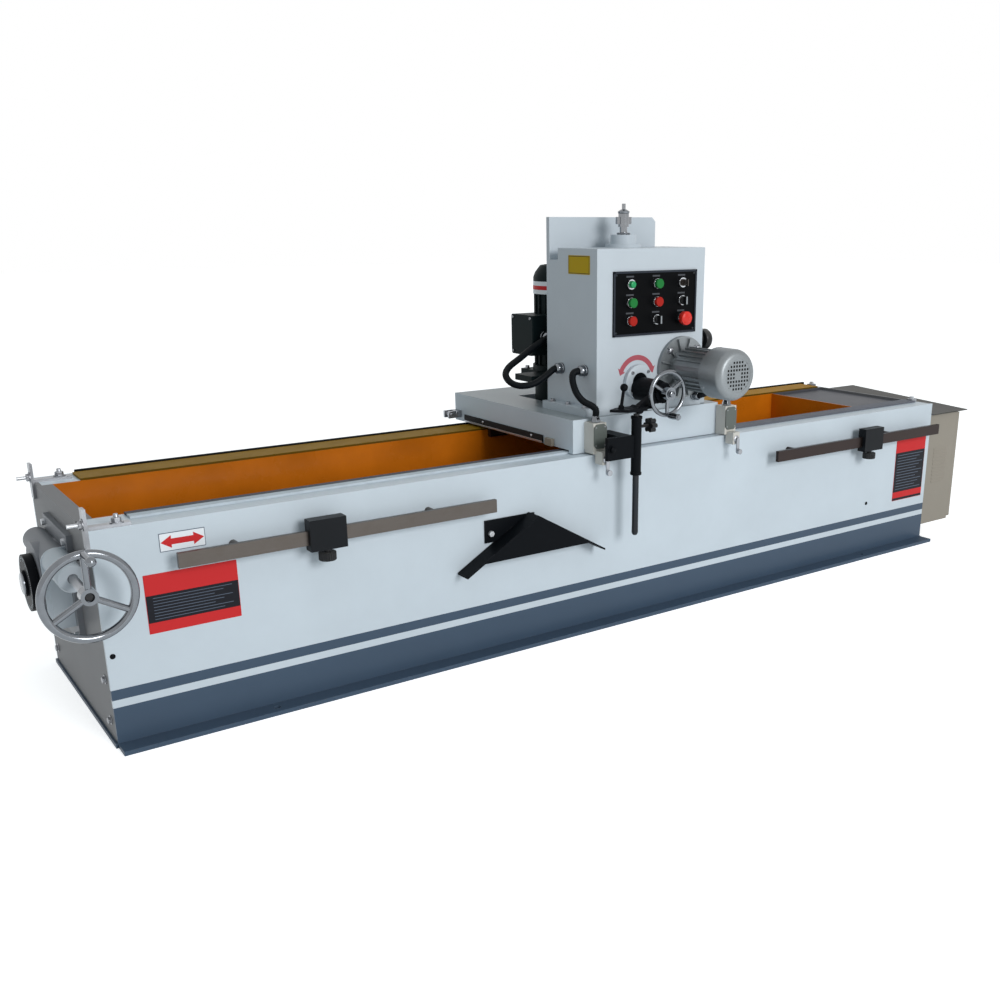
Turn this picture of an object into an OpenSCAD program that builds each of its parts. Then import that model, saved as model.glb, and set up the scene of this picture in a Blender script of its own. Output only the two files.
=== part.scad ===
// Planer knife grinder: a trough bed, a travelling carriage with a grinding head, and a tilting table.
// The origin is the centre of the bed on the floor. +X runs along the bed, +Y to its rear and +Z up.

/* [Bed] */
// Length of the bed over its end plates
bed_l = 3170; // [3050:10:3400]
// Depth of the bed over its beams
bed_d = 690; // [670:5:730]
// Height of the bed's top above the floor
bed_h = 560; // [540:5:600]
// Width of each beam
beam_w = 117; // [112:1:124]
// Wall of the beams
wall_t = 10; // [8:0.5:14]
// Thickness of the end plates
end_t = 10; // [8:0.5:14]
// Thickness of the base frame
base_t = 12; // [8:1:20]
// How far the base frame reaches out in front and behind
base_lip = 55; // [45:1:80]
// Width of the front way bar
front_way_w = 55; // [45:1:65]
// Width of the rear way bar
rear_way_w = 100; // [80:1:110]
// Thickness of the way bars
way_t = 6; // [4:0.5:10]
// Depth of the trough below the bed's top
trough_depth = 320; // [305:5:380]
// Sheet of the trough liner
liner_t = 4; // [2:0.5:6]
// Length of the covered bay at the right end
bay_l = 315; // [280:5:350]
// Radius of the anchor holes
anchor_r = 9; // [7:0.5:12]
// Anchor holes from the ends of the bed
anchor_inset = 400; // [300:10:500]

/* [Stops and feed ramp] */
// Length of each stop bar
bar_l = 907; // [880:1:930]
// Height of the stop bars
bar_h = 38; // [30:1:44]
// Thickness of the stop bars
bar_t = 12; // [10:1:14]
// Gap between the front wall and the stop bars
bar_gap = 40; // [36:1:44]
// Middle of the stop bars below the bed's top
bar_drop = 93; // [88:1:100]
// Length of a trip dog along its bar
dog_l = 102; // [90:1:110]
// Length of the feed ramp from foot to foot
ramp_l = 500; // [450:5:520]
// Rise of the feed ramp
ramp_rise = 145; // [120:1:150]
// Width of the feed ramp's strip
ramp_w = 54; // [44:1:56]

/* [Knife table] */
// Tilt axis below the bed's top
axis_drop = 200; // [192:1:208]
// Width of the knife table
table_w = 150; // [130:2:160]
// Width of the magnetic chuck
chuck_w = 170; // [160:2:180]
// Height of the magnetic chuck
chuck_h = 48; // [36:1:50]
// Radius of the tilt shaft and trunnion
shaft_r = 20; // [16:0.5:24]
// Worm shaft above the tilt axis
worm_rise = 75; // [74:0.5:80]
// Teeth of the worm wheel
worm_teeth = 40; // [36:1:44]
// Radius of the angle dial
dial_r = 75; // [66:1:90]
// Radius of the tilt handwheel over its rim
tilt_wheel_r = 111; // [100:1:116]

/* [Carriage] */
// Left side of the carriage from the bed's left end
carriage_x = 1424; // [1400:2:1450]
// Length of the carriage along the bed
carriage_l = 606; // [596:2:640]
// Front of the carriage behind the bed's front
carriage_front = 35; // [30:1:40]
// Depth of the carriage
carriage_d = 720; // [700:5:740]
// Height of the carriage
carriage_h = 96; // [88:1:100]
// Teeth of the drive pinion
pinion_teeth = 12; // [12:1:14]
// Module of the drive pinion and rack
gear_module = 5; // [4.5:0.1:5.2]

/* [Head] */
// Left side of the head from the carriage's left side
head_x = 98; // [90:1:104]
// Width of the head box
head_w = 436; // [430:2:446]
// Depth of the head box at its top
head_d = 205; // [195:1:215]
// Height of the head box
head_h = 504; // [490:1:530]
// Wall of the head box
head_wall = 8; // [6:0.5:10]
// Height of the column plate
column_h = 597; // [570:1:640]
// Thickness of the column plate
column_t = 16; // [12:1:20]
// Width of the control panel
panel_w = 339; // [330:1:360]
// Height of the control panel
panel_h = 196; // [185:1:205]
// Radius of the push buttons
button_r = 10.7; // [9:0.1:11.5]
// Radius of the emergency stop's mushroom
estop_r = 21; // [18:0.5:23]

/* [Traverse motor] */
// Radius of the motor's mounting flange
flange_r = 100; // [90:1:102]
// Radius of the motor's body
motor_r = 70; // [62:1:74]
// Radius of the fan cover
fan_r = 78; // [76:1:82]
// Length of the motor in front of the head
motor_l = 265; // [250:1:290]

/* [Grinding head] */
// Spindle axis from the carriage's left side
wheel_x = 254; // [248:1:260]
// Spindle axis from the bed's front
wheel_y = 450; // [444:1:456]
// Radius of the cup wheel
wheel_r = 75; // [65:1:80]
// Height of the cup wheel
wheel_h = 48; // [40:1:52]
// Radius of the grinding motor
grinder_r = 94; // [86:1:98]
// Height of the grinding motor
grinder_h = 348; // [320:1:380]
// Radius of the wheel guard
guard_r = 93; // [88:0.5:98]
// Radius of the spindle
spindle_r = 17.5; // [14:0.5:20]

/* [Feed] */
// Radius of the feed handwheel over its rim
feed_wheel_r = 73; // [66:1:76]
// Feed axis from the carriage's left side
feed_x = 259; // [254:1:262]
// Feed axis above the carriage
feed_z = 77; // [74:1:82]
// Radius of the push rod
rod_r = 10; // [9:0.5:11]
// Length of the push rod
rod_l = 387; // [370:1:388]
// Radius of the guide tube
tube_r = 16; // [15:0.5:19]

/* [Cabinet] */
// Length of the cabinet beyond the bed
cabinet_l = 194; // [180:2:220]
// Depth of the cabinet
cabinet_d = 570; // [540:5:590]
// Cabinet's underside above the floor
cabinet_z = 60; // [50:2:90]
// Sheet of the cabinet
sheet_t = 2; // [1.5:0.5:3]

/* [Hidden] */
$fn = 64;

// Overrun of every cut, running clearance of shafts, and gap between pieces that move past each other
cut = 1;
run = 0.05;
gap = 0.3;

// Colours
white_paint = [0.77, 0.82, 0.86];
navy_paint = [0.21, 0.27, 0.34];
grey_paint = [0.30, 0.30, 0.31];
orange_paint = [0.66, 0.36, 0.06];
beige_paint = [0.60, 0.56, 0.51];
steel = [0.62, 0.63, 0.65];
chrome = [0.82, 0.83, 0.85];
black_oxide = [0.08, 0.09, 0.11];
motor_green = [0.14, 0.19, 0.19];
motor_silver = [0.55, 0.56, 0.58];
signal_green = [0.05, 0.55, 0.30];
signal_red = [0.80, 0.12, 0.10];

// Faces of the bed
xl = -bed_l / 2;
xr = bed_l / 2;
yf = -bed_d / 2;
yr = bed_d / 2;
inner_w = bed_d - 2 * beam_w;
trough_x = xr - bay_l;
floor_h = bed_h - trough_depth;
bar_z = bed_h - bar_drop;
table_z = bed_h - axis_drop;

// Base frame and ends
lip_inset = 150;
end_strip_w = 90;
end_lip = 6;
strip_w = 37;
strip_t = 8;
strip_out = 3;
way_inset = 110;
way_right_inset = 30;

// Rail brackets with their bolts and tension screws
upright_t = 8;
upright_w = 30;
upright_drop = 45;
upright_rise = 53;
arm_l = 98;
arm_w = 24;
arm_t = 8;
clip_t = 10;
front_bracket_y = 15;
rear_bracket_y = 58;
screw_r = 5;
screw_l = 34;
nut_r = 9;
nut_h = 9;
arm_bolt_x = 68;
tension_z = 6;

// Stop bars, posts and trip dogs
left_bar_x = 182;
right_bar_inset = 15;
post_r = 11;
post_rise = 11;
left_posts = [152, 710];
right_posts = [101, 626];
dog_rear = 32;
dog_front = 14;
dog_top = 30;
dog_drop = 16;
left_dog_x = 565;
right_dog_x = 2745;
thumb_r = 22;
thumb_h = 22;
thumb_stem = 10;
thumb_stem_r = 9;

// Feed ramp on its wall plate
ramp_x = 1230;
ramp_drop = 143;
ramp_t = 6;
ramp_plate_t = 6;
ramp_plate_l = 175;
ramp_plate_h = 68;
ramp_plate_drop = 4;
ramp_plate_left = 155;
web_t = 6;
web_lift = 32;
ramp_post_r = 12;
ramp_post_xs = [92, 155];
ramp_bolt_xs = [18];
ramp_bolt_z = 28;
ramp_z = bed_h - ramp_drop;
ramp_plate_x = xl + ramp_x - ramp_plate_left;
ramp_plate_z = ramp_z - ramp_plate_drop - ramp_plate_h;

// Worm gearbox on the left end plate
box_l = 75;
drum_r = 105;
foot_t = 14;
foot_w = 280;
foot_h = 290;
tunnel_r = 34;
tunnel_rear = 140;
tunnel_front_y = 60;
tunnel_foot_l = 40;
tunnel_foot_h = 60;
worm_in = 37;
worm_shaft_r = 11;
worm_r = 13;
worm_l = 80;
worm_room = 5;
wheel_room = 3;
worm_wheel_w = 26;
worm_wheel_in = 50;
worm_tooth_h = 5;
worm_mesh_gap = 1;
worm_tooth_shares = [0.36, 0.20];
worm_z = table_z + worm_rise;
worm_wheel_tip = worm_rise - worm_r - worm_mesh_gap;
dial_gap = 2;
dial_t = 22;
dial_boss_r = 34;
dial_boss_t = 6;
gear_bolt_r = 9;
gear_bolt_h = 9;
gear_bolt_in = 20;

// Knife table
table_in = 60;
table_top = 70;
table_shoulder = 20;
table_drop = 45;
table_base_w = 80;
bearing_l = 40;
bearing_w = 120;
bearing_gap = 4;
table_x0 = xl + table_in;
table_x1 = trough_x - liner_t - bearing_l - bearing_gap;

// Tilt handwheel and its handle
tilt_rim_r = 10;
tilt_rim_front = 100;
tilt_hub_r = 20;
tilt_hub_l = 34;
tilt_hub_back = 8;
spoke_r = 8;
handle_r = 9;
handle_neck_r = 6;
handle_ball_r = 12;
handle_l = 74;
handle_pin_r = 4;
spoke_angles = [90, 210, 330];
spoke_seat_share = 1 / 3;

// Carriage
slide_gap = 0.1;
shoe_t = 6;
shoe_l = 120;
shoe_inset = 20;
key_l = 100;
key_w = 18;
key_h = 36;
apron_t = 22;
apron_gap = 2.5;
carriage_top_t = 28;
carriage_rim = 25;
pocket_in = 30;
well_w = 220;
well_rear = 110;
cx0 = xl + carriage_x;
cx1 = cx0 + carriage_l;
cy0 = yf + carriage_front;
cy1 = cy0 + carriage_d;
cz0 = bed_h + way_t + slide_gap + shoe_t;
cz1 = cz0 + carriage_h;

// Head box
head_back = 10;
head_rear = 46;
notch_h = 36;
head_foot_w = 32;
head_foot_h = 24;
head_foot_in = 15;
hx0 = cx0 + head_x;
hx1 = hx0 + head_w;
hy0 = cy0 + head_back;
hy1 = hy0 + head_d;
hy2 = hy1 + head_rear;
hz1 = cz1 + head_h;
head_mid = hx0 + head_w / 2;

// Column plate and head slide
ky1 = hy2 + column_t;
column_chamfer = 14;
spx = cx0 + wheel_x;
spy = yf + wheel_y;
slide_w = 160;
slide_t = 30;
slide_h = 340;
slide_rise = 32;
gib_w = 24;
gib_t = 20;
gib_h = 420;
slide_z = cz1 + slide_rise;
shelf_t = 20;
shelf_rise = 77;
shelf_z = cz1 + shelf_rise;
shelf_top = shelf_z + shelf_t;
shelf_left = 200;
ear_rear = 440;
shelf_side = 102;
shelf_rear = 102;
guard_t = 4;
guard_drop = 160;
wheel_wall = 18;
wheel_back = 14;
wheel_drop = 170;
wheel_flange_r = 34;
wheel_flange_h = 10;
spindle_seat = 50;
cap_h = 62;
cap_share = 0.72;
cap_side_share = 1 / 3;
motor_foot_h = 18;
motor_foot_r = 100;
box_reach = 66;
box_w = 126;
box_h = 130;
box_rise = 60;
fin_count = 20;
fin_w = 5;
fin_h = 6;

// Control panel and its switches
panel_t = 4;
panel_z = 339;
panel_shift = 11.5;
column_pitch = 105;
row_pitch = 55;
row_rise = 4;
bezel_r = 14.5;
bezel_h = 9;
bezel_bore = 11;
button_out = 5;
button_in = 3;
switch_hole_r = 14;
estop_h = 16;
estop_gap = 7;
knob_r = 13;
knob_h = 7;
bar_knob_w = 8;
bar_knob_h = 13;
key_r = 8;
key_out = 4;
key_t = 3;
key_bow = 20;
lamp_r = 10.5;
lamp_h = 8;
panel_y = hy0 - panel_t;
panel_mid_x = head_mid + panel_shift;
row_top = cz1 + panel_z + row_rise;

// Traverse drive
drive_along = 442;
drive_rise = 129;
flange_t = 12;
fan_l = 90;
fan_nose_l = 16;
fan_face_r = 66;
motor_neck_l = 30;
motor_neck_r = 56;
motor_shaft_r = 8;
motor_shaft_l = 34;
shaft_hole_r = 30;
motor_fin_count = 24;
motor_fin_w = 4;
motor_fin_h = 6;
reducer_w = 100;
reducer_h = 140;
pinion_shaft_r = 10;
pinion_shaft_up = 90;
pinion_w = 34;
rack_drop = 55;
rack_h = 30;
rack_in = 60;
rack_pitch_y = 14;
tooth_shares = [0.70, 0.90];
tooth_half_share = 0.20;
flank_angle = 20;
drive_x = cx0 + drive_along;
drive_z = cz1 + drive_rise;
rack_z = bed_h - rack_drop;
rack_pitch = PI * gear_module;
pinion_pitch_r = gear_module * pinion_teeth / 2;
rack_wall_y = yf + beam_w + liner_t;
pinion_y = rack_wall_y + rack_pitch_y + pinion_pitch_r;
addendum = tooth_shares[0] * gear_module;
dedendum = tooth_shares[1] * gear_module;
tooth_half = tooth_half_share * rack_pitch;

// Limit switches and their levers
switch_w = 50;
switch_d = 45;
switch_h = 95;
switch_rise = 5;
switch_head_up = 10;
switch_head_down = 30;
switch_head_w = 30;
switch_head_out = 32;
switch_head_in = 4;
switch_plate_t = 3;
switch_plate_l = 46;
left_switch_x = 43;
right_switch_x = 597;
lever_drop = 8;
lever_l = 40;
lever_t = 4;
lever_w = 12;
lever_shaft_r = 5;
lever_shaft_l = 6;
lever_seat = 20;
roller_r = 9;
roller_w = 12;
gland_r = 11;
gland_h = 14;
switch_z = bed_h + switch_rise;
lever_pivot_z = bed_h - lever_drop;

// Feed mechanism
rod_y_out = 75;
rod_x_in = 162;
rod_up = 7;
tube_l = 184;
tube_drop = 171;
arm_plate_l = 116;
arm_plate_h = 70;
arm_plate_t = 14;
arm_boss_l = 45;
arm_boss_x = 96;
knob_stem_r = 5;
knob_stem_l = 36;
star_r = 16;
star_lobe_r = 7;
star_h = 20;
star_z = 150;
feed_flange_r = 52;
feed_flange_t = 15;
feed_flange_rise = 20;
feed_body_r = 37;
feed_body_front = 60;
feed_shaft_r = 10;
feed_shaft_in = 60;
pawl_hub_r = 20;
pawl_hub_l = 20;
pawl_hub_front = 62;
pad_gap = 2;
pad_t = 8;
pad_left = 105;
pad_right = 45;
pad_point = 40;
pad_w = 40;
pad_front = 40;
pad_wide = 10;
nose_r = 12;
feed_rim_r = 6.5;
feed_rim_front = 105;
feed_hub_l = 32;
feed_spoke_r = 6;
feed_spoke_angles = [30, 150, 270];
crank_l = 58;
crank_r = 7;
boss_y = 149;
boss_flange_r = 57;
boss_flange_t = 11;
boss_r = 41;
boss_h = 28;
feed_screw_r = 12;
feed_screw_in = 300;
capstan_neck = 24;
capstan_r = 17;
capstan_h = 46;
capstan_pin_r = 6;
capstan_pin_h = 24;
wing_l = 12;
wing_h = 22;
wing_t = 8;
tube_z = cz1 - tube_drop;
feed_ax = cx0 + feed_x;
feed_az = cz1 + feed_z;
rod_x = cx0 + rod_x_in;
rod_y = yf - rod_y_out;
rod_z = tube_z + tube_l + rod_up - rod_l;

// Trough cover and cabinet
cover_t = 4;
cover_drop = 9;
lid_t = 3;
lid_front = 18;
lid_right = 26;
lid_rear = 12;
cabinet_front = 5;
cabinet_front_drop = 44;
cabinet_rear_drop = 15;
door_t = 18;
door_in = 10;
door_top_gap = 8;
hinge_r = 6;
hinge_pin_r = 3;
hinge_l = 40;
hinge_zs_shares = [0.2, 0.8];
lock_r = 11;
lock_t = 6;
cabinet_front_h = bed_h - cabinet_front_drop;
cabinet_rear_h = bed_h - cabinet_rear_drop;
cabinet_x1 = xr + cabinet_l;
cabinet_y0 = yf + cabinet_front;
cabinet_y1 = cabinet_y0 + cabinet_d;

// Routes of the conduits, in millimetres from the carriage's left side, the bed's front and the bed's top
conduit_r = 11;
conduit_sides = 10;
switch_route_left = [[97.7, 105, 246], [70, 105, 246], [48, 100, 240], [38, 88, 218], [38, 68, 185],
    [46, 44, 162], [60, 20, 150], [68, 9.5, 138], [68, 9.5, 114.3]];
switch_route_right = [[622, 9.5, 114.3], [622, 9.5, 136], [614, 11, 150], [596, 14, 157], [572, 17, 156],
    [545, 18, 150], [520, 18, 145], [507, 24, 142], [506, 44.7, 142]];
motor_route = [[97.7, 231, 241], [70, 231, 241], [30, 232, 217], [-8, 238, 198], [-45, 255, 193],
    [-66, 280, 202], [-66, 310, 222], [-38, 334, 243], [16, 346, 269], [66, 352, 296], [106, 352, 316],
    [130, 356, 324], [137, 366, 326], [137, 386.7, 326]];

// Boxes and bars given by their end faces
module slab(x0, x1, y0, y1, z0, z1) {
    translate([x0, y0, z0]) cube([x1 - x0, y1 - y0, z1 - z0]);
}

module bar_x(r, x0, x1, y, z) {
    translate([x0, y, z]) rotate([0, 90, 0]) cylinder(r = r, h = x1 - x0);
}

module bar_y(r, y0, y1, x, z) {
    translate([x, y0, z]) rotate([-90, 0, 0]) cylinder(r = r, h = y1 - y0);
}

module bar_z(r, z0, z1, x, y) {
    translate([x, y, z0]) cylinder(r = r, h = z1 - z0);
}

// A hexagon head or nut, standing along +Z from the origin
module hexagon(r, h) {
    cylinder(r = r, h = h, $fn = 6);
}

// A profile drawn in Y and Z, carried along X
module along_x(x0, x1) {
    translate([x0, 0, 0]) rotate([90, 0, 90]) linear_extrude(height = x1 - x0) children();
}

// A profile drawn in X and Z, carried along Y
module along_y(y0, y1) {
    translate([0, y1, 0]) rotate([90, 0, 0]) linear_extrude(height = y1 - y0) children();
}

// Vectors for the conduits' tubes
function unit(v) = v / norm(v);
function along_path(p, i) = unit(p[min(i + 1, len(p) - 1)] - p[max(i - 1, 0)]);
function side_of(t) = unit(cross(t, abs(t[2]) < 0.9 ? [0, 0, 1] : [1, 0, 0]));

// Points of a smooth curve through the route
function smooth(p, i, s) =
    let (a = p[max(i - 1, 0)], b = p[i], c = p[i + 1], d = p[min(i + 2, len(p) - 1)])
    0.5 * (2 * b + (c - a) * s + (2 * a - 5 * b + 4 * c - d) * s * s + (3 * b - a - 3 * c + d) * s * s * s);
function curve(p, n) =
    concat([for (i = [0 : len(p) - 2], k = [0 : n - 1]) smooth(p, i, k / n)], [p[len(p) - 1]]);

module tube(route, r, sides) {
    path = curve(route, 2);
    count = len(path);
    last = len(route) - 1;
    first_way = unit(route[1] - route[0]);
    last_way = unit(route[last] - route[last - 1]);
    ways = [for (i = [0 : count - 1]) i == 0 ? first_way : i == count - 1 ? last_way : along_path(path, i)];
    rings = [for (i = [0 : count - 1])
        let (t = ways[i], u = side_of(t), v = cross(t, u))
        for (k = [0 : sides - 1]) path[i] + r * (cos(360 * k / sides) * u + sin(360 * k / sides) * v)];
    walls = [for (i = [0 : count - 2], k = [0 : sides - 1])
        let (a = i * sides + k, b = i * sides + (k + 1) % sides)
        each [[a, b, a + sides], [b, b + sides, a + sides]]];
    ends = concat([for (k = [1 : sides - 2]) [0, k + 1, k]],
        [for (k = [1 : sides - 2]) [for (m = [0, k, k + 1]) (count - 1) * sides + m]]);
    polyhedron(points = rings, faces = concat(walls, ends));
}

// Bed
module base_frame() {
    color(navy_paint) difference() {
        union() {
            slab(xl, xr, yf - base_lip, yf + beam_w, 0, base_t);
            slab(xl, xr, yr - beam_w, yr, 0, base_t);
            slab(xl + lip_inset, xr - lip_inset, yr - beam_w, yr + base_lip, 0, base_t);
            slab(xl - end_lip, xl + end_strip_w, yf, yr, 0, base_t);
            slab(xr - end_strip_w, xr + end_lip, yf, yr, 0, base_t);
        }
        for (sx = [-1, 1], sy = [-1, 1])
            bar_z(anchor_r, -cut, base_t + cut, sx * (xr - anchor_inset), sy * (yr + base_lip / 2));
    }
}

module beam() {
    difference() {
        slab(xl, xr, yf, yf + beam_w, base_t, bed_h);
        slab(xl - cut, xr + cut, yf + wall_t, yf + beam_w - wall_t, base_t + wall_t, bed_h - wall_t);
        slab(xl - cut, xl + end_t, yf + wall_t, yf + beam_w + cut, base_t - cut, bed_h + cut);
        slab(xr - end_t, xr + cut, yf + wall_t, yf + beam_w + cut, base_t - cut, bed_h + cut);
    }
}

module front_beam() {
    color(white_paint) beam();
}

module rear_beam() {
    color(white_paint) mirror([0, 1, 0]) beam();
}

module left_end_plate() {
    color(grey_paint) difference() {
        union() {
            slab(xl, xl + end_t, yf + wall_t, yr - wall_t, base_t, bed_h);
            slab(xl - strip_out, xl + strip_w, -inner_w / 2, inner_w / 2, bed_h - strip_t, bed_h);
        }
        bar_x(shaft_r + cut, xl - cut, xl + end_t + cut, 0, table_z);
    }
}

module right_end_plate() {
    color(grey_paint) slab(xr - end_t, xr, yf + wall_t, yr - wall_t, base_t, bed_h);
}

module trough_liner() {
    x0 = xl + end_t;
    color(orange_paint) difference() {
        slab(x0, trough_x, -inner_w / 2, inner_w / 2, floor_h, bed_h);
        slab(x0 + liner_t, trough_x - liner_t, liner_t - inner_w / 2, inner_w / 2 - liner_t,
            floor_h + liner_t, bed_h + cut);
        slab(x0 - cut, xl + strip_w, -inner_w / 2 - cut, inner_w / 2 + cut, bed_h - strip_t, bed_h + cut);
        bar_x(shaft_r + cut, x0 - cut, x0 + liner_t + cut, 0, table_z);
    }
}

module way_bars() {
    x0 = xl + way_inset;
    x1 = xr - way_right_inset;
    color(steel) {
        slab(x0, x1, yf + beam_w - front_way_w, yf + beam_w, bed_h, bed_h + way_t);
        slab(x0, x1, yr - beam_w, yr - beam_w + rear_way_w, bed_h, bed_h + way_t);
    }
}

// Brackets stand at the bed's left end, and low clips hold the ends of the ways at its right end
module at_brackets() {
    for (y = [yf + front_bracket_y, yr - rear_bracket_y]) translate([0, y, 0]) children();
}

module at_clips() {
    for (y = [yf + beam_w - front_way_w / 2, yr - beam_w + rear_way_w / 2]) translate([0, y, 0]) children();
}

module rail_brackets() {
    color(steel) {
        at_brackets() {
            slab(xl - upright_t, xl, -upright_w / 2, upright_w / 2, bed_h - upright_drop,
                bed_h + upright_rise);
            slab(xl, xl + arm_l, -arm_w / 2, arm_w / 2, bed_h, bed_h + arm_t);
        }
        at_clips() slab(xr - way_right_inset, xr, -arm_w / 2, arm_w / 2, bed_h, bed_h + clip_t);
    }
}

module bed_bolts() {
    bolt_y = foot_w / 2 - gear_bolt_in;
    bolt_z = foot_h / 2 - gear_bolt_in;
    color(steel) {
        at_brackets() {
            bar_x(screw_r, xl - upright_t - screw_l, xl - upright_t, 0, bed_h + tension_z + arm_t);
            translate([xl + arm_bolt_x, 0, bed_h + arm_t]) hexagon(nut_r, nut_h);
        }
        at_clips() translate([xr - way_right_inset / 2, 0, bed_h + clip_t]) hexagon(nut_r, nut_h);
        for (sy = [-1, 1], sz = [-1, 1])
            translate([xl - foot_t, sy * bolt_y, table_z + sz * bolt_z])
                rotate([0, -90, 0]) hexagon(gear_bolt_r, gear_bolt_h);
        for (x = ramp_bolt_xs)
            translate([ramp_plate_x + x, yf - ramp_plate_t, ramp_plate_z + ramp_bolt_z])
                rotate([90, 0, 0]) hexagon(nut_r, nut_h);
    }
}

// One stop bar with its two posts, from its left end
module stop_bar(x, posts) {
    slab(x, x + bar_l, yf - bar_gap - bar_t, yf - bar_gap, bar_z - bar_h / 2, bar_z + bar_h / 2);
    for (post = posts)
        bar_y(post_r, yf - bar_gap, yf, x + post, bar_z + post_rise - post_r / 2);
}

module stop_bars() {
    color(steel) {
        stop_bar(xl + left_bar_x, left_posts);
        stop_bar(xr - right_bar_inset - bar_l, right_posts);
    }
}

module feed_ramp() {
    half = ramp_l / 2;
    web = half * (1 - web_lift / ramp_rise);
    web_z = web_lift - ramp_t / 2;
    y_wall = yf - ramp_plate_t;
    y_web = y_wall - ramp_w + web_t;
    plate_z1 = ramp_plate_z + ramp_plate_h;
    color(black_oxide) {
        translate([xl + ramp_x, 0, ramp_z - ramp_rise]) {
            along_y(y_wall - ramp_w, y_wall + ramp_plate_t / 2)
                polygon([[-half, 0], [0, ramp_rise], [half, 0], [half, -ramp_t], [0, ramp_rise - ramp_t],
                    [-half, -ramp_t]]);
            along_y(y_wall - ramp_w, y_web)
                polygon([[-web, web_z], [0, ramp_rise - ramp_t / 2], [web, web_z]]);
        }
        slab(ramp_plate_x, ramp_plate_x + ramp_plate_l, y_wall, yf, ramp_plate_z, plate_z1);
        for (x = ramp_post_xs)
            bar_y(ramp_post_r, y_web - web_t / 2, y_wall + ramp_plate_t / 2, ramp_plate_x + x,
                ramp_plate_z + ramp_post_r);
    }
}

module gearbox_housing() {
    tunnel_y = yf + tunnel_front_y;
    room_x = xl - worm_wheel_in - wheel_room;
    room_w = worm_wheel_w + 2 * wheel_room;
    color(grey_paint) difference() {
        union() {
            bar_x(drum_r, xl - box_l, xl, 0, table_z);
            bar_y(tunnel_r, tunnel_y, tunnel_rear, xl - worm_in, worm_z);
            slab(xl - foot_t, xl, -foot_w / 2, foot_w / 2, table_z - foot_h / 2, table_z + foot_h / 2);
            slab(xl - worm_in, xl, tunnel_y, tunnel_y + tunnel_foot_l, worm_z - tunnel_foot_h / 2,
                worm_z + tunnel_foot_h / 2);
        }
        bar_x(shaft_r + run, xl - box_l - cut, xl + cut, 0, table_z);
        bar_x(worm_wheel_tip + wheel_room, room_x, room_x + room_w, 0, table_z);
        bar_y(worm_shaft_r + run, tunnel_y - cut, tunnel_rear + cut, xl - worm_in, worm_z);
        bar_y(worm_r + worm_room, -worm_l / 2 - worm_room, worm_l / 2 + worm_room, xl - worm_in, worm_z);
    }
}

module table_bearing() {
    x1 = trough_x - liner_t;
    color(grey_paint) difference() {
        slab(x1 - bearing_l, x1, -bearing_w / 2, bearing_w / 2, floor_h + liner_t, table_z + bearing_w / 2);
        bar_x(shaft_r + run, x1 - bearing_l - cut, x1 + cut, 0, table_z);
    }
}

// Rack teeth stand at whole pitches from the pinion's axis
module drive_rack() {
    x0 = xl + end_t + rack_in;
    x1 = trough_x - liner_t - rack_in;
    first = ceil((x0 - drive_x) / rack_pitch + 1);
    last = floor((x1 - drive_x) / rack_pitch - 1);
    y_pitch = rack_wall_y + rack_pitch_y;
    tip = tooth_half - addendum * tan(flank_angle);
    root = tooth_half + dedendum * tan(flank_angle);
    tooth = [[-root, -dedendum], [-tip, addendum], [tip, addendum], [root, -dedendum]];
    teeth = [for (k = [first : last], p = tooth) [drive_x + k * rack_pitch + p[0], y_pitch + p[1]]];
    color(steel) translate([0, 0, rack_z - rack_h / 2]) linear_extrude(height = rack_h)
        polygon(concat([[x0, rack_wall_y], [x0, y_pitch - dedendum]], teeth,
            [[x1, y_pitch - dedendum], [x1, rack_wall_y]]));
}

// The lid follows the slope of the cabinet's top, from the front to the rear
module trough_cover() {
    slope = (cabinet_rear_h - cabinet_front_h) / cabinet_d;
    z0 = cabinet_front_h - slope * lid_front + gap;
    z1 = cabinet_rear_h + slope * lid_rear + gap;
    top = bed_h - cover_drop;
    color(grey_paint) {
        slab(trough_x, xr - end_t, -inner_w / 2, inner_w / 2, top - cover_t, top);
        along_x(xr, cabinet_x1 + lid_right)
            polygon([[cabinet_y0 - lid_front, z0], [cabinet_y1 + lid_rear, z1],
                [cabinet_y1 + lid_rear, z1 + lid_t], [cabinet_y0 - lid_front, z0 + lid_t]]);
    }
}

module hinge_zs() {
    for (share = hinge_zs_shares)
        translate([0, 0, cabinet_z + share * (cabinet_front_h - cabinet_z)]) children();
}

module cabinet_box() {
    x1 = cabinet_x1 - door_t;
    color(beige_paint) {
        difference() {
            along_x(xr, x1)
                polygon([[cabinet_y0, cabinet_z], [cabinet_y1, cabinet_z], [cabinet_y1, cabinet_rear_h],
                    [cabinet_y0, cabinet_front_h]]);
            slab(xr + sheet_t, x1 + cut, cabinet_y0 + sheet_t, cabinet_y1 - sheet_t, cabinet_z + sheet_t,
                cabinet_front_h - sheet_t);
        }
        hinge_zs() difference() {
            union() {
                bar_z(hinge_r, 0, hinge_l, x1 + hinge_r, cabinet_y1 + hinge_r);
                slab(x1 - hinge_l, x1 + hinge_r, cabinet_y1, cabinet_y1 + hinge_r, 0, hinge_l);
            }
            bar_z(hinge_pin_r + run, -cut, hinge_l + cut, x1 + hinge_r, cabinet_y1 + hinge_r);
        }
    }
}

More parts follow.
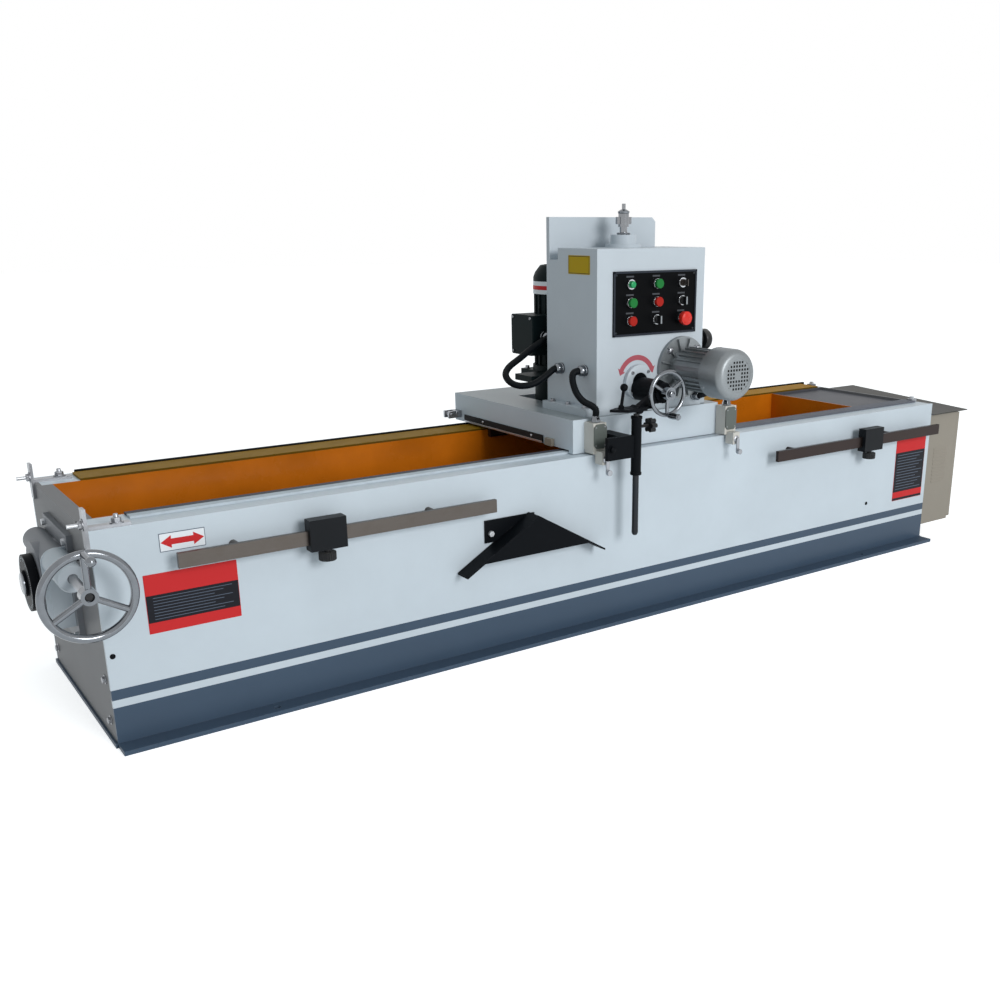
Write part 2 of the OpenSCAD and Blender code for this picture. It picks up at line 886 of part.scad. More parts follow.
module cabinet_door() {
    x0 = cabinet_x1 - door_t;
    z0 = cabinet_z + door_in;
    z1 = cabinet_front_h - door_top_gap;
    y0 = cabinet_y0;
    y1 = cabinet_y1 - gap;
    axis_x = x0 + hinge_r;
    axis_y = cabinet_y1 + hinge_r;
    color(beige_paint) {
        difference() {
            slab(x0 + gap, cabinet_x1, y0, y1, z0, z1);
            slab(x0 - cut, cabinet_x1 - sheet_t, y0 + sheet_t, y1 - sheet_t, z0 + sheet_t, z1 - sheet_t);
        }
        hinge_zs() {
            bar_z(hinge_pin_r, -hinge_l, hinge_l, axis_x, axis_y);
            bar_z(hinge_r, -hinge_l - gap, -gap, axis_x, axis_y);
            slab(axis_x, cabinet_x1, y1 - sheet_t, axis_y, -hinge_l - gap, -gap);
        }
        bar_x(lock_r, cabinet_x1, cabinet_x1 + lock_t, y0 + 2 * door_t, (z0 + z1) / 2);
    }
}

// Knife table
module knife_table() {
    half = table_w / 2;
    color(grey_paint) {
        translate([0, 0, table_z]) along_x(table_x0, table_x1)
            polygon([[-half, table_top], [-half, table_shoulder], [-table_base_w / 2, -table_drop],
                [table_base_w / 2, -table_drop], [half, table_shoulder], [half, table_top]]);
        bar_x(shaft_r, table_x1, trough_x - liner_t, 0, table_z);
    }
}

module magnetic_chuck() {
    z0 = table_z + table_top;
    color(steel) slab(table_x0, table_x1, -chuck_w / 2, chuck_w / 2, z0, z0 + chuck_h);
}

module worm_wheel() {
    tip = worm_wheel_tip;
    root = tip - worm_tooth_h;
    step = 360 / worm_teeth;
    outline = [for (k = [0 : worm_teeth - 1],
        p = [[-worm_tooth_shares[0], root], [-worm_tooth_shares[1], tip], [worm_tooth_shares[1], tip],
            [worm_tooth_shares[0], root]])
        p[1] * [cos((k + p[0]) * step), sin((k + p[0]) * step)]];
    color(steel) {
        bar_x(shaft_r, xl - box_l - dial_gap, table_x0, 0, table_z);
        translate([0, 0, table_z]) along_x(xl - worm_wheel_in, xl - worm_wheel_in + worm_wheel_w)
            difference() {
                polygon(outline);
                circle(r = shaft_r - cut);
            }
    }
}

module angle_dial() {
    x1 = xl - box_l - dial_gap;
    color(black_oxide) {
        bar_x(dial_r, x1 - dial_t, x1, 0, table_z);
        bar_x(dial_boss_r, x1 - dial_t - dial_boss_t, x1 - dial_t, 0, table_z);
    }
}

// Tilt drive
module worm_shaft() {
    color(steel) {
        bar_y(worm_shaft_r, yf - tilt_rim_front + tilt_hub_back, tunnel_rear, xl - worm_in, worm_z);
        bar_y(worm_r, -worm_l / 2, worm_l / 2, xl - worm_in, worm_z);
    }
}

// A spoked wheel facing the front, with its rim's middle at the origin
module spoked_wheel(r, rim, hub_r, hub_l, hub_back, spoke, angles, bore) {
    ring = r - rim;
    hub_y = hub_back + hub_l;
    difference() {
        union() {
            rotate([90, 0, 0]) rotate_extrude() translate([ring, 0]) circle(r = rim);
            bar_y(hub_r, hub_back - hub_l / 2, hub_back + hub_l / 2, 0, 0);
            for (angle = angles)
                rotate([0, -angle, 0])
                    bar_x(spoke, (bore + hub_r) / 2, ring - spoke_seat_share * rim, (rim - spoke) / 2, 0);
        }
        bar_y(bore, hub_back - hub_l, hub_y, 0, 0);
    }
}

module tilt_handwheel() {
    ring = tilt_wheel_r - tilt_rim_r;
    color(chrome) translate([xl - worm_in, yf - tilt_rim_front, worm_z]) {
        spoked_wheel(tilt_wheel_r, tilt_rim_r, tilt_hub_r, tilt_hub_l, tilt_hub_back, spoke_r, spoke_angles,
            worm_shaft_r);
        bar_y(handle_pin_r, -tilt_rim_r - handle_l + handle_ball_r, -tilt_rim_r / 2, 0, ring);
    }
}

module tilt_handle() {
    ring = tilt_wheel_r - tilt_rim_r;
    tail = handle_l - handle_ball_r;
    color(chrome) translate([xl - worm_in, yf - tilt_rim_front - tilt_rim_r - gap, worm_z + ring])
        rotate([90, 0, 0]) difference() {
            rotate_extrude() polygon(concat([[0, 0], [handle_r, 0], [handle_r, handle_ball_r / 2],
                [handle_neck_r, tail - handle_ball_r]],
                [for (a = [-60 : 10 : 90]) [handle_ball_r * cos(a), tail + handle_ball_r * sin(a)]]));
            translate([0, 0, -cut]) cylinder(r = handle_pin_r + run, h = tail + cut);
        }
}

// Carriage
module carriage_plate() {
    pocket = inner_w / 2 - pocket_in;
    color(white_paint) difference() {
        union() {
            slab(cx0, cx1, cy0, cy1, cz0, cz1);
            slab(cx0, cx1, cy0, cy0 + apron_t, bed_h + apron_gap, cz0);
        }
        slab(cx0 + carriage_rim, cx1 - carriage_rim, -pocket, pocket, cz0 - cut, cz1 - carriage_top_t);
        slab(spx - well_w / 2, spx + well_w / 2, ky1, spy + well_rear, cz0 - cut, cz1 + cut);
        bar_z(pinion_shaft_r + run, cz0 - cut, cz1 + cut, drive_x, pinion_y);
    }
}

module slide_shoes() {
    z0 = bed_h + way_t + slide_gap;
    color(steel) for (x = [cx0 + shoe_inset, cx1 - shoe_inset - shoe_l]) {
        slab(x, x + shoe_l, yf + beam_w - front_way_w, yf + beam_w, z0, cz0);
        slab(x, x + shoe_l, yr - beam_w, yr - beam_w + rear_way_w, z0, cz0);
        slab(x, x + key_l, rack_wall_y + gap, rack_wall_y + gap + key_w, cz0 - key_h, cz0);
        slab(x, x + key_l, -rack_wall_y - gap - key_w, -rack_wall_y - gap, cz0 - key_h, cz0);
    }
}

module panel_places() {
    for (column = [-1 : 1], row = [0 : 2])
        translate([panel_mid_x + column * column_pitch, 0, row_top + (1 - row) * row_pitch]) children();
}

// The box is open below; its top carries the boss of the feed screw
module head_box() {
    notch_z = hz1 - notch_h;
    flange_z = hz1 + boss_flange_t;
    color(white_paint) difference() {
        union() {
            slab(hx0, hx1, hy0, hy1, cz1, hz1);
            slab(hx0, hx1, hy0, hy2, cz1, notch_z);
            slab(hx0 - head_foot_w, hx1 + head_foot_w, hy0 + head_foot_in, hy2, cz1, cz1 + head_foot_h);
            bar_z(boss_flange_r, hz1, flange_z, head_mid, hy0 + boss_y);
            bar_z(boss_r, flange_z, flange_z + boss_h, head_mid, hy0 + boss_y);
        }
        slab(hx0 + head_wall, hx1 - head_wall, hy0 + head_wall, hy1 - head_wall, cz1 - cut, hz1 - head_wall);
        slab(hx0 + head_wall, hx1 - head_wall, hy0 + head_wall, hy2 + cut, cz1 - cut, notch_z - head_wall);
        panel_places() bar_y(switch_hole_r, hy0 - cut, hy0 + head_wall + cut, 0, 0);
        bar_y(shaft_hole_r, hy0 - cut, hy0 + head_wall + cut, drive_x, drive_z);
        bar_z(feed_screw_r + run, hz1 - head_wall - cut, flange_z + boss_h + cut, head_mid, hy0 + boss_y);
    }
}

// The plate carries the two gibs that guide the head slide
module column_plate() {
    z1 = cz1 + column_h;
    c = column_chamfer;
    edge = slide_w / 2 + slide_gap;
    color(white_paint) {
        along_y(hy2, ky1)
            polygon([[hx0, cz1], [hx1, cz1], [hx1, z1 - c], [hx1 - c, z1], [hx0, z1]]);
        for (side = [-1, 1])
            translate([spx + side * (edge + gib_w / 2), 0, 0])
                slab(-gib_w / 2, gib_w / 2, ky1, ky1 + gib_t, slide_z, slide_z + gib_h);
    }
}

module control_panel() {
    x0 = panel_mid_x - panel_w / 2;
    z0 = cz1 + panel_z - panel_h / 2;
    lamp = [panel_mid_x - column_pitch, row_top + row_pitch];
    color(black_oxide) {
        difference() {
            union() {
                slab(x0, x0 + panel_w, panel_y, hy0, z0, z0 + panel_h);
                panel_places() bar_y(bezel_r, panel_y - bezel_h, panel_y, 0, 0);
            }
            panel_places() bar_y(bezel_bore, panel_y - bezel_h - cut, hy0 + cut, 0, 0);
        }
        bar_y(bezel_bore, panel_y - bezel_h, hy0, lamp[0], lamp[1]);
        bar_y(lamp_r, panel_y - bezel_h - lamp_h, panel_y - bezel_h, lamp[0], lamp[1]);
    }
}

// A ring of cooling fins along Y round a motor body
module fins(r, count, w, h, y0, y1) {
    for (k = [0 : count - 1])
        rotate([0, k * 360 / count, 0]) slab(-w / 2, w / 2, y0, y1, r - h, r);
}

module traverse_motor() {
    y0 = hy0 - flange_t;
    y1 = hy0 - motor_l + fan_l;
    nose_y = hy0 - motor_l + fan_nose_l;
    body_r = motor_r - motor_fin_h;
    color(motor_silver) translate([drive_x, 0, drive_z]) {
        bar_y(flange_r, y0, hy0, 0, 0);
        bar_y(motor_neck_r, y0 - motor_neck_l, y0, 0, 0);
        bar_y(body_r, y1, y0 - motor_neck_l, 0, 0);
        fins(motor_r, motor_fin_count, motor_fin_w, motor_fin_h + motor_fin_w, y1, y0 - motor_neck_l);
        bar_y(fan_r, nose_y, y1, 0, 0);
        translate([0, nose_y, 0]) rotate([90, 0, 0]) rotate_extrude()
            polygon([[0, 0], [fan_r, 0], [fan_face_r, fan_nose_l], [0, fan_nose_l]]);
        bar_y(motor_shaft_r, hy0, hy0 + motor_shaft_l, 0, 0);
    }
}

module traverse_reducer() {
    y0 = hy0 + head_wall;
    y1 = pinion_y + reducer_w / 2;
    z0 = drive_z - reducer_h / 2;
    color(grey_paint) difference() {
        slab(drive_x - reducer_w / 2, drive_x + reducer_w / 2, y0, y1, z0, z0 + reducer_h);
        bar_y(motor_shaft_r + run, y0 - cut, hy0 + motor_shaft_l + cut, drive_x, drive_z);
        bar_z(pinion_shaft_r + run, z0 - cut, cz1 + pinion_shaft_up + cut, drive_x, pinion_y);
    }
}

// A switch with its rotary head, from its left side
module limit_switch(x) {
    y1 = cy0 - switch_plate_t;
    mid = x + switch_w / 2;
    slab(x, x + switch_w, y1 - switch_d, y1, switch_z, switch_z + switch_h);
    half = switch_head_w / 2;
    head_y = y1 - switch_d;
    slab(mid - half, mid + half, head_y - switch_head_out, head_y + switch_head_in,
        switch_z - switch_head_down, switch_z + switch_head_up);
    bar_z(gland_r, switch_z + switch_h, switch_z + switch_h + gland_h, mid, y1 - switch_d / 2);
}

module limit_switches() {
    left = cx0 + left_switch_x;
    right = cx0 + right_switch_x;
    z0 = cz0 + apron_gap;
    y0 = cy0 - switch_plate_t;
    right_end = right + switch_w;
    half = switch_w / 2;
    head_y = y0 - switch_d - switch_head_out;
    color(motor_silver) {
        difference() {
            union() {
                limit_switch(left);
                limit_switch(right);
            }
            for (x = [left, right])
                bar_y(lever_shaft_r + run, head_y - cut, head_y + lever_seat + cut, x + half, lever_pivot_z);
        }
        slab(left, left + switch_plate_l, y0, cy0, z0, switch_z + switch_h);
        slab(right_end - switch_plate_l, right_end, y0, cy0, z0, switch_z + switch_h);
    }
}

// A lever with its roller, hanging from the switch's rotary head
module switch_lever(x) {
    y0 = cy0 - switch_plate_t - switch_d - switch_head_out;
    y1 = y0 - lever_shaft_l;
    y2 = y1 - lever_t;
    color(steel) translate([x + switch_w / 2, 0, lever_pivot_z]) {
        bar_y(lever_shaft_r, y2, y0 + lever_seat, 0, 0);
        bar_y(lever_w / 2, y2, y1, 0, 0);
        slab(-lever_w / 2, lever_w / 2, y2, y1, -lever_l, 0);
        bar_y(roller_r, y2 - roller_w, y2, 0, -lever_l);
    }
}

module switch_lever_left() {
    switch_lever(cx0 + left_switch_x);
}

module switch_lever_right() {
    switch_lever(cx0 + right_switch_x);
}

module rod_bracket() {
    x0 = rod_x - arm_plate_l;
    z0 = tube_z + tube_l / 2 - arm_plate_h / 2;
    bx = cx0 + arm_boss_x;
    y0 = rod_y - arm_plate_t / 2;
    color(black_oxide) difference() {
        union() {
            bar_z(tube_r, tube_z, tube_z + tube_l, rod_x, rod_y);
            slab(x0, rod_x, y0, y0 + arm_plate_t, z0, z0 + arm_plate_h);
            slab(bx, bx + arm_boss_l, y0 + arm_plate_t, cy0, cz0 + apron_gap, z0 + arm_plate_h);
        }
        bar_z(rod_r + run, tube_z - cut, tube_z + tube_l + cut, rod_x, rod_y);
        bar_x(knob_stem_r + run, rod_x, rod_x + tube_r + cut, rod_y, tube_z + star_z);
    }
}

module feed_housing() {
    y0 = yf - feed_body_front;
    color(black_oxide) difference() {
        union() {
            bar_y(feed_flange_r, hy0 - feed_flange_t, hy0, feed_ax, feed_az + feed_flange_rise);
            bar_y(feed_body_r, y0, hy0, feed_ax, feed_az);
        }
        bar_y(feed_shaft_r + run, y0 - cut, y0 + feed_shaft_in + cut, feed_ax, feed_az);
    }
}

module carried(route) {
    translate([cx0, yf, bed_h]) tube(route, conduit_r, conduit_sides);
}

module switch_conduits() {
    color(black_oxide) {
        carried(switch_route_left);
        carried(switch_route_right);
    }
}

module drive_pinion() {
    step = 360 / pinion_teeth;
    tip_r = pinion_pitch_r + addendum;
    root_r = pinion_pitch_r - dedendum;
    tip = (tooth_half - addendum * tan(flank_angle)) / tip_r;
    root = (tooth_half + dedendum * tan(flank_angle)) / root_r;
    tooth = [[-root, root_r], [-tip, tip_r], [tip, tip_r], [root, root_r]];
    outline = [for (k = [0 : pinion_teeth - 1], p = tooth)
        let (a = (k + 0.5) * step - 90 + p[0] * 180 / PI)
        p[1] * [cos(a), sin(a)]];
    color(steel) translate([drive_x, pinion_y, 0]) {
        translate([0, 0, rack_z - pinion_w / 2]) linear_extrude(height = pinion_w) polygon(outline);
        bar_z(pinion_shaft_r, rack_z + pinion_w / 2, cz1 + pinion_shaft_up, 0, 0);
    }
}

// Grinding head
module head_slide() {
    y0 = ky1 + slide_gap;
    color(motor_green) difference() {
        union() {
            slab(spx - slide_w / 2, spx + slide_w / 2, y0, y0 + slide_t, slide_z, slide_z + slide_h);
            slab(spx - shelf_side, spx + shelf_side, y0 + slide_t, spy + shelf_rear, shelf_z, shelf_top);
            slab(spx - shelf_left, spx - shelf_side, y0 + slide_t, yf + ear_rear, shelf_z, shelf_top);
        }
        bar_z(spindle_r + run, shelf_z - cut, shelf_top + cut, spx, spy);
    }
}

module grinding_motor() {
    z0 = shelf_top;
    box_z = z0 + box_rise;
    cap_r = cap_share * grinder_r;
    z1 = z0 + grinder_h - cap_h;
    body_r = grinder_r - fin_h;
    color(motor_green) translate([spx, spy, 0]) difference() {
        union() {
            bar_z(motor_foot_r, z0, z0 + motor_foot_h, 0, 0);
            bar_z(body_r, z0 + motor_foot_h, z1, 0, 0);
            for (k = [0 : fin_count - 1])
                rotate([0, 0, k * 360 / fin_count])
                    slab(body_r - fin_w, grinder_r, -fin_w / 2, fin_w / 2, z0 + motor_foot_h, z1);
            translate([0, 0, z1]) rotate_extrude()
                polygon([[0, 0], [grinder_r, 0], [grinder_r, cap_side_share * cap_h], [cap_r, cap_h],
                    [0, cap_h]]);
            slab(-grinder_r - box_reach, -body_r / 2, -box_w / 2, box_w / 2, box_z, box_z + box_h);
        }
        bar_z(spindle_r + run, z0 - cut, z0 + spindle_seat + cut, 0, 0);
    }
}

module wheel_guard() {
    color(motor_green) difference() {
        bar_z(guard_r, shelf_z - guard_drop, shelf_z, spx, spy);
        bar_z(guard_r - guard_t, shelf_z - guard_drop - cut, shelf_z - guard_t, spx, spy);
        bar_z(spindle_r + cut, shelf_z - guard_drop, shelf_z + cut, spx, spy);
    }
}

module motor_conduit() {
    color(black_oxide) carried(motor_route);
}

module cup_wheel() {
    z0 = shelf_z - wheel_drop;
    z1 = z0 + wheel_h;
    color(steel) translate([spx, spy, 0]) {
        difference() {
            bar_z(wheel_r, z0, z1, 0, 0);
            bar_z(wheel_r - wheel_wall, z0 - cut, z1 - wheel_back, 0, 0);
        }
        bar_z(wheel_flange_r, z1, z1 + wheel_flange_h, 0, 0);
        bar_z(spindle_r, z1 + wheel_flange_h, shelf_top + spindle_seat, 0, 0);
    }
}

// Feed
module feed_handwheel() {
    hub_y = yf - feed_rim_front;
    ring = feed_wheel_r - feed_rim_r;
    shaft_y1 = yf - feed_body_front + feed_shaft_in;
    color(chrome) translate([feed_ax, 0, feed_az]) {
        translate([0, hub_y, 0]) {
            spoked_wheel(feed_wheel_r, feed_rim_r, pawl_hub_r, feed_hub_l, 0, feed_spoke_r,
                feed_spoke_angles, feed_shaft_r - cut);
            bar_y(crank_r, -crank_l, 0, 0, -ring);
        }
        bar_y(feed_shaft_r, hub_y, shaft_y1, 0, 0);
    }
}

module feed_screw() {
    z0 = hz1 + boss_flange_t + boss_h;
    neck = z0 + capstan_neck;
    top = neck + capstan_h;
    wing_z = neck + wing_t;
    half = wing_t / 2;
    color(chrome) translate([head_mid, hy0 + boss_y, 0]) {
        bar_z(feed_screw_r, hz1 - feed_screw_in, neck, 0, 0);
        bar_z(capstan_r, neck, top, 0, 0);
        bar_z(capstan_pin_r, top, top + capstan_pin_h, 0, 0);
        for (side = [0, 180])
            rotate([0, 0, side])
                slab(capstan_r - half, capstan_r + wing_l, -half, half, wing_z, wing_z + wing_h);
    }
}

// A rounded nose under the pad rests over the push rod's top
module pawl_lever() {
    y0 = yf - pawl_hub_front - pawl_hub_l;
    y1 = yf - pawl_hub_front;
    nose_x = rod_x - feed_ax;
    nose_z = rod_z + rod_l + pad_gap + nose_r - feed_az;
    pad_y0 = rod_y - pad_w / 2;
    pad_y1 = rod_y + pad_w / 2;
    color(black_oxide) translate([feed_ax, 0, feed_az]) {
        difference() {
            union() {
                bar_y(pawl_hub_r, y0, y1, 0, 0);
                along_y(y0, y1)
                    polygon([[0, pawl_hub_r - cut], [nose_x, nose_z + pad_t],
                        [nose_x + pad_right, nose_z], [0, cut - pawl_hub_r]]);
            }
            bar_y(feed_shaft_r + run, y0 - cut, y1 + cut, 0, 0);
        }
        bar_y(nose_r, pad_y0, pad_y1, nose_x, nose_z);
        translate([nose_x, rod_y, nose_z]) linear_extrude(height = pad_t)
            polygon([[-pad_left, 0], [pad_point - pad_left, -pad_front], [pad_wide, -pad_front],
                [pad_wide, -pad_w / 2], [pad_right, -pad_w / 2],
                [pad_right, pad_w / 2], [pad_point - pad_left, pad_w / 2]]);
    }
}

module push_rod() {
    color(steel) translate([rod_x, rod_y, rod_z]) {
        translate([0, 0, rod_r]) sphere(r = rod_r);
        bar_z(rod_r, rod_r, rod_l, 0, 0);
    }
}

module rod_knob() {
    x0 = rod_x + rod_r + gap;
    x1 = x0 + knob_stem_l;
    color(black_oxide) translate([0, rod_y, tube_z + star_z]) {
        bar_x(knob_stem_r, x0, x1, 0, 0);
        bar_x(star_r, x1, x1 + star_h, 0, 0);
        for (k = [0 : 5])
            rotate([k * 60, 0, 0]) bar_x(star_lobe_r, x1, x1 + star_h, star_r, 0);
    }
}

// Stops
module trip_dog(x) {
    y0 = yf - bar_gap - bar_t - dog_front;
    y1 = yf - dog_rear;
    z0 = bar_z - bar_h / 2 - dog_drop;
    z1 = bar_z + bar_h / 2 + dog_top;
    ys = yf - bar_gap - bar_t / 2;
    color(black_oxide) difference() {
        slab(x - dog_l / 2, x + dog_l / 2, y0, y1, z0, z1);
        slab(x - dog_l, x + dog_l, yf - bar_gap - bar_t - gap, yf - bar_gap + gap, bar_z - bar_h / 2 - gap,
            bar_z + bar_h / 2 + gap);
        bar_z(thumb_stem_r + run, z0 - cut, bar_z, x, ys);
    }
}

module dog_screw(x) {
    z0 = bar_z - bar_h / 2 - dog_drop;
    ys = yf - bar_gap - bar_t / 2;
    color(black_oxide) {
        bar_z(thumb_stem_r, z0 - thumb_stem, bar_z - bar_h / 2 - gap, x, ys);
        bar_z(thumb_r, z0 - thumb_stem - thumb_h, z0 - thumb_stem, x, ys);
    }
}

module trip_dog_left() {
    trip_dog(xl + left_dog_x);
}

module trip_dog_right() {
    trip_dog(xl + right_dog_x);
}

module dog_screw_left() {
    dog_screw(xl + left_dog_x);
}

module dog_screw_right() {
    dog_screw(xl + right_dog_x);
}

// Controls, by column and row of the panel
module control(column, row) {
    translate([panel_mid_x + column * column_pitch, 0, row_top + (1 - row) * row_pitch]) children();
}

module push_button() {
    bar_y(button_r, panel_y - bezel_h - button_out, hy0 + button_in, 0, 0);
}

module wheel_start_button() {
    color(signal_green) control(0, 0) push_button();
}

module travel_start_button() {
    color(signal_green) control(-1, 1) push_button();
}

module wheel_stop_button() {
    color(signal_red) control(0, 1) push_button();
}

module travel_stop_button() {
    color(signal_red) control(-1, 2) push_button();
}

module emergency_stop() {
    y0 = panel_y - bezel_h - estop_gap;
    color(signal_red) control(1, 2) {
        bar_y(button_r, y0, hy0 + button_in, 0, 0);
        bar_y(estop_r, y0 - estop_h, y0, 0, 0);
    }
}

module selector() {
    y0 = panel_y - bezel_h - gap;
    bar_y(button_r, y0, hy0 + button_in, 0, 0);
    bar_y(knob_r, y0 - knob_h, y0, 0, 0);
    slab(-bar_knob_w / 2, bar_knob_w / 2, y0 - knob_h - bar_knob_h, y0 - knob_h, -knob_r, knob_r);
}

module speed_selector() {
    color(black_oxide) control(0, 2) selector();
}

module mode_selector() {
    color(black_oxide) control(1, 1) selector();
}

module key_switch() {
    y0 = panel_y - bezel_h - gap;
    color(chrome) control(1, 0) {
        bar_y(button_r, y0, hy0 + button_in, 0, 0);
        bar_y(key_r, y0 - key_out, y0, 0, 0);
        slab(-key_t / 2, key_t / 2, y0 - key_out - key_bow, y0 - key_out, -key_bow / 2, key_bow / 2);
    }
}

base_frame();
front_beam();
rear_beam();
left_end_plate();
right_end_plate();
trough_liner();
way_bars();
rail_brackets();
bed_bolts();
stop_bars();
feed_ramp();
gearbox_housing();
table_bearing();
drive_rack();
trough_cover();
cabinet_box();
cabinet_door();
knife_table();
magnetic_chuck();
worm_wheel();
angle_dial();
worm_shaft();
tilt_handwheel();
tilt_handle();
carriage_plate();
slide_shoes();
head_box();
column_plate();
control_panel();
traverse_motor();
traverse_reducer();
limit_switches();
rod_bracket();
feed_housing();
switch_conduits();
drive_pinion();
head_slide();
grinding_motor();
wheel_guard();
motor_conduit();
cup_wheel();
feed_handwheel();
feed_screw();
pawl_lever();
push_rod();
rod_knob();
trip_dog_left();
trip_dog_right();
dog_screw_left();
dog_screw_right();
switch_lever_left();
switch_lever_right();
wheel_start_button();
travel_start_button();
wheel_stop_button();
travel_stop_button();
emergency_stop();
speed_selector();
mode_selector();
key_switch();
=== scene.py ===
"""Planer knife grinder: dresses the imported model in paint, steel, rubber and small fittings.

Points are in metres, in the model's frame. Profiles, outlines and sizes of the added shapes are in
millimetres.
"""

import math

import bmesh
import bpy
from mathutils import Matrix, Vector


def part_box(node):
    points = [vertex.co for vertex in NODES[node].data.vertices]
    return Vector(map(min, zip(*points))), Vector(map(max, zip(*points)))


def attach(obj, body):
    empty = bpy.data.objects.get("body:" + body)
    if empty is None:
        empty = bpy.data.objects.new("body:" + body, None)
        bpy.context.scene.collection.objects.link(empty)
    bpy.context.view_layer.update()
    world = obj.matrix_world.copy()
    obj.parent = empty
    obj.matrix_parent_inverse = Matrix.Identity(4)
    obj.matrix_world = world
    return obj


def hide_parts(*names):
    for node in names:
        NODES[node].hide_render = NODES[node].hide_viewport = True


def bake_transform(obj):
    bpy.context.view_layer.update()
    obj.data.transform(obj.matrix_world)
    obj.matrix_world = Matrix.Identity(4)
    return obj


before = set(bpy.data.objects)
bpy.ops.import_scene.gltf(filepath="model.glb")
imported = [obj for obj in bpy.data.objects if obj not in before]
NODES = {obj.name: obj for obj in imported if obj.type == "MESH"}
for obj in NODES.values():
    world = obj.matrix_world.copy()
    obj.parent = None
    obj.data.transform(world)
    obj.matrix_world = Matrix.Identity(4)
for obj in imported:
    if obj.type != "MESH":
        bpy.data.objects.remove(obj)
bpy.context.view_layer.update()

scene = bpy.context.scene
MM = 0.001
ORIGIN = Vector((0, 0, 0))
UP = Vector((0, 0, 1))
FRONT = Vector((0, -1, 0))
LEFT = Vector((-1, 0, 0))
RIGHT = Vector((1, 0, 0))
PHOTO_SIDE = 1000


def srgb(red, green, blue):
    """A colour as the photograph shows it, made linear."""
    def linear(value):
        share = value / 255
        return share / 12.92 if share <= 0.04045 else ((share + 0.055) / 1.055) ** 2.4
    return (linear(red), linear(green), linear(blue), 1.0)


# Nodes of the shader trees


def feed(tree, inputs, values):
    """Links or sets inputs of a node; each value is a socket or a constant."""
    for key, value in values.items():
        if isinstance(value, bpy.types.NodeSocket):
            tree.links.new(value, inputs[key])
        else:
            inputs[key].default_value = value


def put(tree, kind, settings=None, **sockets):
    """A node in a tree, with its settings and its named inputs."""
    node = tree.nodes.new(kind)
    for name, value in (settings or {}).items():
        setattr(node, name, value)
    feed(tree, node.inputs, {name.replace("_", " "): value for name, value in sockets.items()})
    return node


def mixed(tree, factor, first, second, mode="MIX"):
    """Two colours mixed."""
    node = put(tree, "ShaderNodeMix", {"data_type": "RGBA", "blend_type": mode})
    feed(tree, node.inputs, {0: factor, 6: first, 7: second})
    return node.outputs[2]


def maths(tree, operation, first, second, clamp=False):
    """Arithmetic on two values."""
    node = put(tree, "ShaderNodeMath", {"operation": operation, "use_clamp": clamp})
    feed(tree, node.inputs, {0: first, 1: second})
    return node.outputs[0]


def vectors(tree, operation, first, second):
    """Arithmetic on two vectors: the outputs of its node."""
    node = put(tree, "ShaderNodeVectorMath", {"operation": operation})
    feed(tree, node.inputs, {0: first, 1: second})
    return node.outputs


def above(tree, value, limit):
    return maths(tree, "GREATER_THAN", value, limit)


def below(tree, value, limit):
    return maths(tree, "LESS_THAN", value, limit)


def mapped(tree, value, low=0.0, high=1.0, start=0.0, stop=1.0):
    """A value spread from one range, start to stop, over another, low to high."""
    node = put(tree, "ShaderNodeMapRange", Value=value, From_Min=start, From_Max=stop,
               To_Min=low, To_Max=high)
    return node.outputs["Result"]


def noise(tree, place, **sockets):
    """The value of a noise over the surface."""
    return put(tree, "ShaderNodeTexNoise", Vector=place, **sockets).outputs["Fac"]


def axes(tree, kind, output):
    """The X, Y and Z of a vector that varies over the surface."""
    return put(tree, "ShaderNodeSeparateXYZ", Vector=put(tree, kind).outputs[output]).outputs


# Shader groups shared by the finishes


def shader_group(name, **inputs):
    """A group that gives colour, roughness and height: its tree, inputs, outputs and place on the surface."""
    kinds = {1: "NodeSocketFloat", 3: "NodeSocketVector", 4: "NodeSocketColor"}
    tree = bpy.data.node_groups.new(name, "ShaderNodeTree")
    for label, default in inputs.items():
        size = len(default) if isinstance(default, tuple) else 1
        tree.interface.new_socket(label, in_out="INPUT", socket_type=kinds[size]).default_value = default
    for label, size in (("Colour", 4), ("Roughness", 1), ("Height", 1)):
        tree.interface.new_socket(label, in_out="OUTPUT", socket_type=kinds[size])
    given = tree.nodes.new("NodeGroupInput").outputs
    result = tree.nodes.new("NodeGroupOutput").inputs
    return tree, given, result, put(tree, "ShaderNodeTexCoord").outputs["Object"]


